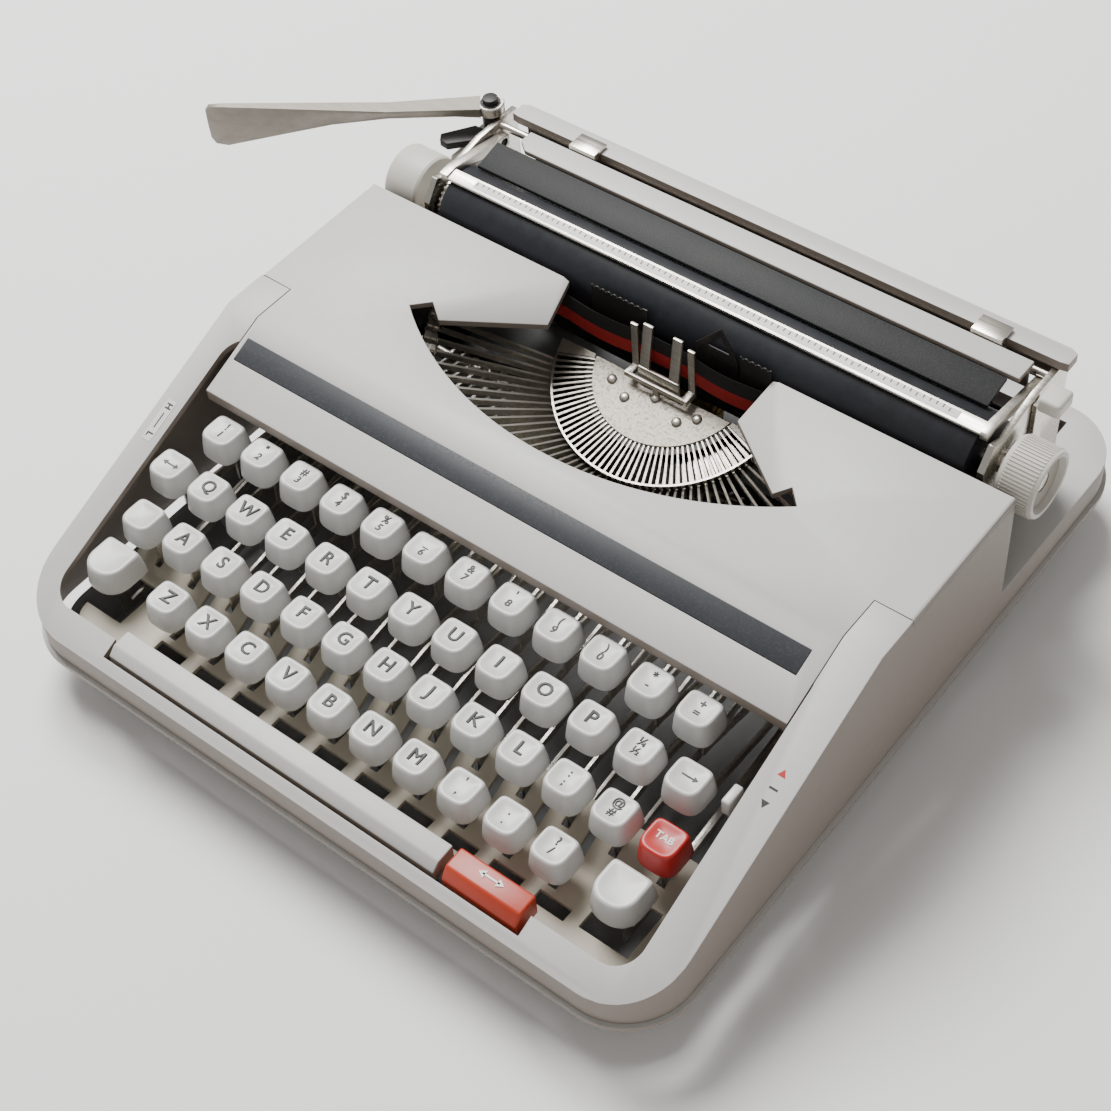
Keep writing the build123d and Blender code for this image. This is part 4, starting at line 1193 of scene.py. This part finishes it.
    def fasteners(self) -> None:
        """Screw heads and rivets of the cap plate."""
        bm = bmesh.new()
        profile = [(0.0, 0.0), (1.9, 0.0), (1.9, 0.5), (1.5, 0.95), (0.0, 1.1)]
        sides = 20
        rings = []
        for radius, z in profile:
            if radius == 0:
                rings.append([bm.verts.new((0, 0, z))])
            else:
                turn = [2 * math.pi * k / sides for k in range(sides)]
                rings.append([bm.verts.new((radius * math.cos(a), radius * math.sin(a), z)) for a in turn])
        join_rings(bm, rings)
        head = from_bmesh("one_head", bm, 50)
        spots = [(-19, -14), (-10.5, -18), (0, -13), (12.5, -17.5), (18.5, -13)]
        points = [tuple(self.plane @ Vector((x, y, 6.9))) for x, y in spots]
        turn = tuple(self.plane.to_euler("XYZ"))
        heads = self.shop.repeat.spread("segment_screws", head, points, [turn] * len(points),
                                        self.shop.paint.material("bright_steel"))
        self.shop.fit(heads, "chassis", "bright_steel")


# ---- ribbon --------------------------------------------------------------------------------
@dataclass
class InkRibbon:
    """Two-colour ribbon between its spools."""

    shop: Workshop
    width: float = 12.7
    middle_z: float = 72.0
    line_y: float = 55.3
    bend_x: float = 58.0
    end_x: float = 103.8
    end_y: float = 44.95
    slack: float = 1.7
    thick: float = 0.12

    def line(self) -> list[tuple[float, float]]:
        """Plan of the ribbon from left to right, in millimetres."""
        half = []
        for k in range(13):
            share = k / 12
            half.append((9 + share * (45 - 9), self.line_y - self.slack * math.sin(math.pi * share)))
        inner = [(0.0, self.line_y), (4.5, self.line_y)]
        outer = [(52.0, self.line_y), (self.bend_x, self.line_y), (81, 50.2), (self.end_x, self.end_y)]
        right = inner + half + outer
        left = [(-x, y) for x, y in reversed(right[1:])]
        return left + right

    def build(self) -> None:
        """Makes the ribbon and its spools."""
        path = self.line()
        lengths = [0.0]
        for a, b in zip(path, path[1:]):
            lengths.append(lengths[-1] + math.dist(a, b))
        rows = 7
        bm = bmesh.new()
        uv = bm.loops.layers.uv.new("cloth")
        grid = []
        for (x, y), run in zip(path, lengths):
            column = []
            for r in range(rows):
                share = r / (rows - 1)
                z = self.middle_z + (share - 0.5) * self.width
                lean = 0.35 * math.sin(math.pi * share)
                column.append((bm.verts.new((x, y - lean, z)), run / lengths[-1], share))
            grid.append(column)
        for left, right in zip(grid, grid[1:]):
            for r in range(rows - 1):
                corners = (left[r], right[r], right[r + 1], left[r + 1])
                face = bm.faces.new([c[0] for c in corners])
                for loop, corner in zip(face.loops, corners):
                    loop[uv].uv = corner[1:]
        cloth = from_bmesh("ink_ribbon", bm, 80)
        cloth.data.materials.append(self.shop.paint.material("ribbon"))
        depth = cloth.modifiers.new("cloth", "SOLIDIFY")
        depth.thickness = self.thick * MM
        depth.offset = 0
        cloth = bake_modifiers(cloth, "ink_ribbon")
        self.shop.fit(cloth, "chassis", "ribbon", "ribbon")
        for side in ("left", "right"):
            self.shop.soften_node(f"ribbon_spool_{side}", f"spool_{side}", "spool", 0.2, 1)


# ---- carriage ------------------------------------------------------------------------------
@dataclass
class Carriage:
    """Platen, paper parts, margin parts and the levers of the carriage."""

    shop: Workshop
    axis_y: float = 73.25
    axis_z: float = 78.0
    platen_radius: float = 15.0
    platen_ends: tuple[float, float] = (-109.0, 119.0)
    knob_radius: float = 13.0
    lever_pivot: tuple[float, float] = (-120.5, 106.5)
    lever_end: tuple[float, float] = (-205.0, 37.0)
    scale_ends: tuple[float, float] = (-98.0, 110.0)
    scale_place: Point = (0.0, 69.5, 94.43)
    scale_thick: float = 0.12
    scale_margin: float = 1.0
    scale_step: float = 2.54

    def build(self) -> None:
        """Makes all carriage pieces."""
        self.platen()
        self.knob("platen_knob_right", 129.0, 144.0, 60)
        self.knob("platen_knob_left", -122.0, -138.0, 0)
        self.bail()
        soften = self.shop.soften_node
        soften("platen_shaft", "platen", "nickel", 0.2, 1)
        soften("paper_table", "carriage", "wrinkle", 0.3)
        soften("paper_pan", "carriage", "enamel", 0.2, 1)
        soften("carriage_top_plate", "carriage", "casing", 0.8, 3)
        soften("rear_bar", "carriage", "casing", 1.3, 3)
        soften("margin_rail", "carriage", "nickel", 0.2, 1)
        soften("carriage_end_plates", "carriage", "nickel", 0.4)
        soften("carriage_bed", "carriage", "dark_steel", 0.3)
        soften("lever_post", "carriage", "enamel", 0.4)
        soften("margin_stop_left", "margin_stop_left", "nickel", 0.4)
        soften("margin_stop_right", "margin_stop_right", "nickel", 0.4)
        self.hand_lever()
        soften("feed_rollers", "feed_rollers", "platen", 0.4)
        soften("carriage_truck", "truck", "dark_steel", 0.3)
        soften("carriage_rack", "truck", "bright_steel", 0.1, 1)
        for node_name, body in (("paper_release_lever", "paper_release"),
                                ("carriage_release_lever", "carriage_release")):
            cap = softened(node_name + "_cap",
                           cad_copy(node_name, lambda low, high: high.x - low.x > 3), 1.2, 3)
            arm = softened(node_name + "_arm",
                           cad_copy(node_name, lambda low, high: high.x - low.x < 3), 0.2, 1)
            self.shop.fit(cap, body, "knob", node_name)
            self.shop.fit(arm, body, "nickel")

    def hand_lever(self) -> None:
        """Line-space lever: a pressed bar, broad on top by the pivot, that ends in a deep paddle."""
        px, py = self.lever_pivot
        dx, dy = self.lever_end[0] - px, self.lever_end[1] - py
        reach = math.hypot(dx, dy)
        place = Matrix.Translation((px, py, 0)) @ Matrix.Rotation(math.atan2(dy, dx), 4, "Z")
        # distance from the pivot, top, bottom, half widths of the top and the bottom, lean of the bottom
        stations = ((4.0, 98.8, 94.8, 4.2, 4.2, 0.0), (14.0, 99.0, 94.8, 3.8, 2.6, 0.0),
                    (40.0, 99.5, 94.8, 3.0, 1.0, 0.6), (62.0, 101.6, 93.5, 2.4, 0.8, 1.0),
                    (82.0, 103.5, 90.4, 1.8, 0.8, 1.4), (reach - 6.0, 105.5, 86.8, 1.2, 0.6, 1.6),
                    (reach - 1.5, 105.6, 88.0, 0.9, 0.5, 1.2), (reach, 104.0, 91.0, 0.6, 0.4, 0.8))
        bm = bmesh.new()
        rings = []
        for run, top, bottom, wide, narrow, lean in stations:
            middle = bottom + (top - bottom) * 0.55
            points = ((-wide, top), (wide, top), (wide, top - 1.1), (narrow + lean * 0.8, middle),
                      (narrow + lean * 0.2, bottom), (-narrow + lean * 0.2, bottom),
                      (-narrow + lean * 0.8, middle), (-wide, top - 1.1))
            rings.append([bm.verts.new((run, side, z)) for side, z in points])
        for ends in (rings[0], rings[-1]):
            bm.faces.new(ends)
        join_rings(bm, rings)
        bmesh.ops.transform(bm, matrix=place, verts=bm.verts)
        blade = from_bmesh("return_lever_blade", bm, 50)
        self.shop.fit(blade, "return_lever", "lever", "return_lever")
        sides = 40
        turn = [2 * math.pi * k / sides for k in range(sides)]
        hub = ((94.7, 3.1), (94.7, 5.0), (95.0, 5.4), (98.3, 5.4), (98.7, 5.0), (98.7, 3.1))
        washer = ((98.7, 3.15), (98.7, 4.0), (99.0, 4.0), (99.0, 3.15))
        for name, profile, finish in (("return_lever_hub", hub, "nickel"),
                                      ("return_lever_washer", washer, "enamel")):
            bm = bmesh.new()
            loops = [[bm.verts.new((px + r * math.cos(a), py + r * math.sin(a), z)) for a in turn]
                     for z, r in profile]
            join_rings(bm, loops + loops[:1])
            self.shop.fit(from_bmesh(name, bm, 40), "return_lever", finish)

    def platen(self) -> None:
        """Rubber roller with softened ends."""
        x0, x1 = self.platen_ends
        r = self.platen_radius
        bm = bmesh.new()
        lathe_x(bm, [(x0, 3.5), (x0, r - 0.8), (x0 + 0.25, r - 0.25), (x0 + 0.8, r), (x1 - 0.8, r),
                     (x1 - 0.25, r - 0.25), (x1, r - 0.8), (x1, 3.5)], self.axis_y, self.axis_z, 128)
        self.shop.fit(from_bmesh("platen_roller", bm), "platen", "platen", "platen")

    def knob(self, node_name: str, inner: float, outer: float, ribs: int) -> None:
        """Knob with a dished outer face and fine ribs round the rim.

        Args:
            node_name: CAD node that it stands for.
            inner: x of the face towards the carriage.
            outer: x of the outer face.
            ribs: Number of ribs round the rim.
        """
        sign = 1 if outer > inner else -1
        core = self.knob_radius - (0.35 if ribs else 0.0)
        bm = bmesh.new()
        lathe_x(bm, [(inner, 3.5), (inner, core - 1.5), (inner + sign * 0.5, core - 0.5),
                     (inner + sign * 1.4, core), (outer - sign * 1.2, core),
                     (outer - sign * 0.3, core - 0.4), (outer, core - 1.2),
                     (outer - sign * 0.3, core - 2.0), (outer - sign * 2.6, core - 2.8),
                     (outer - sign * 3.0, 3.5)], self.axis_y, self.axis_z, 96)
        self.shop.fit(from_bmesh(node_name + "_shown", bm, 28), "platen", "knob", node_name)
        bm = bmesh.new()
        lathe_x(bm, [(outer - sign * 3.1, 3.5), (outer - sign * 2.7, 3.5), (outer - sign * 2.3, core - 4.0),
                     (outer - sign * 2.5, core - 2.9), (outer - sign * 3.1, core - 2.9)],
                self.axis_y, self.axis_z, 96)
        self.shop.fit(from_bmesh(node_name + "_centre", bm), "platen", "knob_centre")
        if not ribs:
            return
        rib = bmesh.new()
        low, high = sorted((inner + sign * 2.0, outer - sign * 1.6))
        box_into(rib, (low, -0.28, -0.4), (high, 0.28, 0.34))
        item = from_bmesh("one_rib", rib)
        points, turns = [], []
        for k in range(ribs):
            a = 2 * math.pi * k / ribs
            points.append((0, self.axis_y + core * math.cos(a), self.axis_z + core * math.sin(a)))
            turns.append((a - math.pi / 2, 0, 0))
        rim = self.shop.repeat.spread(node_name + "_ribs", item, points, turns,
                                      self.shop.paint.material("knob"))
        self.shop.fit(rim, "platen", "knob")

    def bail(self) -> None:
        """Paper bail with a printed scale of small marks."""
        self.shop.soften_node("paper_bail", "paper_bail", "bright_steel", 0.3)
        slope = math.atan2(1.0, 5.2)
        bm = bmesh.new()
        left, right = self.scale_ends
        box_into(bm, (left, -1.5, 0.0), (right, 1.7, self.scale_thick))
        place = Matrix.Translation(self.scale_place) @ Matrix.Rotation(slope, 4, "X")
        bmesh.ops.transform(bm, matrix=place, verts=bm.verts)
        self.shop.fit(from_bmesh("bail_scale", bm), "paper_bail", "scale_white")
        tick = bmesh.new()
        box_into(tick, (-0.22, -0.75, 0.0), (0.22, 0.75, 0.05))
        item = from_bmesh("one_tick", tick)
        first = left + self.scale_margin
        count = int((right - self.scale_margin - first) / self.scale_step)
        points = [tuple(place @ Vector((first + k * self.scale_step, 0.9 if k % 5 else 0.4,
                                        self.scale_thick))) for k in range(count)]
        marks = self.shop.repeat.spread("bail_marks", item, points, [(slope, 0, 0)] * count,
                                        self.shop.paint.material("legend"))
        self.shop.fit(marks, "paper_bail", "legend")


# ---- inner frame ---------------------------------------------------------------------------
@dataclass
class Mechanism:
    """Inner pieces that are shown through softened copies of their CAD form."""

    shop: Workshop
    finishes: tuple[tuple[str, str], ...] = (
        ("mechanism_frame", "dark_steel"), ("mechanism_posts", "dark_steel"),
        ("key_pivot_shaft", "bright_steel"), ("carriage_rail", "bright_steel"),
        ("ribbon_cups", "dark_steel"), ("bell", "bell"),
        ("mainspring_drum", "dark_steel"), ("escapement_wheel", "brass"),
    )

    def build(self) -> None:
        """Makes each inner piece."""
        for node_name, finish in self.finishes:
            self.shop.soften_node(node_name, body_of(node_name), finish, 0.2, 1)


# ---- studio --------------------------------------------------------------------------------
@dataclass(frozen=True)
class Lamp:
    """Square soft light: its place and size in metres, power in watts and colour."""

    name: str
    place: Point
    size: float
    power: float
    colour: Colour


@dataclass
class Studio:
    """Floor, lights and camera."""

    eye: Point = (0.3298, -0.3691, 0.6027)
    heading_deg: float = 42.8
    down_deg: float = 49.85
    roll_deg: float = -5.79
    lens: float = 68.19
    sensor: float = 36.0
    lamps: tuple[Lamp, ...] = (
        Lamp("key_light", (-0.8, 0.45, 1.5), 0.9, 60.0, (1.0, 0.99, 0.975)),
        Lamp("fill_light", (0.9, -1.1, 0.9), 1.2, 1.6, (1.0, 0.84, 0.68)),
    )
    room_colour: Colour = (1.0, 0.975, 0.95)
    room_strength: float = 0.36
    floor_grey: float = 0.93
    floor_size: float = 4.0

    def build(self) -> None:
        """Makes the set."""
        self.floor()
        self.camera()
        for lamp in self.lamps:
            self.light(lamp)
        world = bpy.data.worlds.new("pale_room")
        world.use_nodes = True
        background = world.node_tree.nodes["Background"]
        background.inputs["Color"].default_value = (*self.room_colour, 1)
        background.inputs["Strength"].default_value = self.room_strength
        bpy.context.scene.world = world

    def floor(self) -> None:
        """Plain pale floor."""
        bm = bmesh.new()
        bmesh.ops.create_grid(bm, x_segments=1, y_segments=1, size=self.floor_size)
        mesh = bpy.data.meshes.new("floor")
        bm.to_mesh(mesh)
        bm.free()
        ground = new_piece("floor", mesh)
        pale = bpy.data.materials.new("pale_floor")
        pale.use_nodes = True
        shader = pale.node_tree.nodes["Principled BSDF"]
        shader.inputs["Base Color"].default_value = (*[self.floor_grey] * 3, 1)
        shader.inputs["Roughness"].default_value = 0.9
        ground.data.materials.append(pale)

    def light(self, lamp: Lamp) -> None:
        """Sets up a lamp that looks at the machine."""
        data = bpy.data.lights.new(lamp.name, "AREA")
        data.size = lamp.size
        data.energy = lamp.power
        data.color = lamp.colour
        made = bpy.data.objects.new(lamp.name, data)
        made.location = lamp.place
        made.rotation_euler = (-Vector(lamp.place)).to_track_quat("-Z", "Y").to_euler()
        bpy.context.scene.collection.objects.link(made)

    def camera(self) -> None:
        """Camera with its heading, dip and roll."""
        head, dip, roll = (math.radians(v) for v in (self.heading_deg, self.down_deg, self.roll_deg))
        ahead = Vector((-math.sin(head) * math.cos(dip), math.cos(head) * math.cos(dip), -math.sin(dip)))
        level = ahead.cross(Vector((0, 0, 1))).normalized()
        above = level.cross(ahead)
        right = math.cos(roll) * level + math.sin(roll) * above
        up = -math.sin(roll) * level + math.cos(roll) * above
        data = bpy.data.cameras.new("camera")
        data.sensor_width = self.sensor
        data.lens = self.lens
        made = bpy.data.objects.new("camera", data)
        made.matrix_world = Matrix.Translation(self.eye) @ Matrix((right, up, -ahead)).transposed().to_4x4()
        bpy.context.scene.collection.objects.link(made)
        bpy.context.scene.camera = made


def main() -> None:
    """Builds the set and every sub-assembly in order."""
    logging.basicConfig(level=logging.INFO, format="%(name)s: %(message)s")
    Studio().build()
    shop = Workshop()
    for part in (Casing, Keyboard, TypeBasket, InkRibbon, Carriage, Mechanism):
        part(shop).build()


if __name__ == "__main__":
    main()
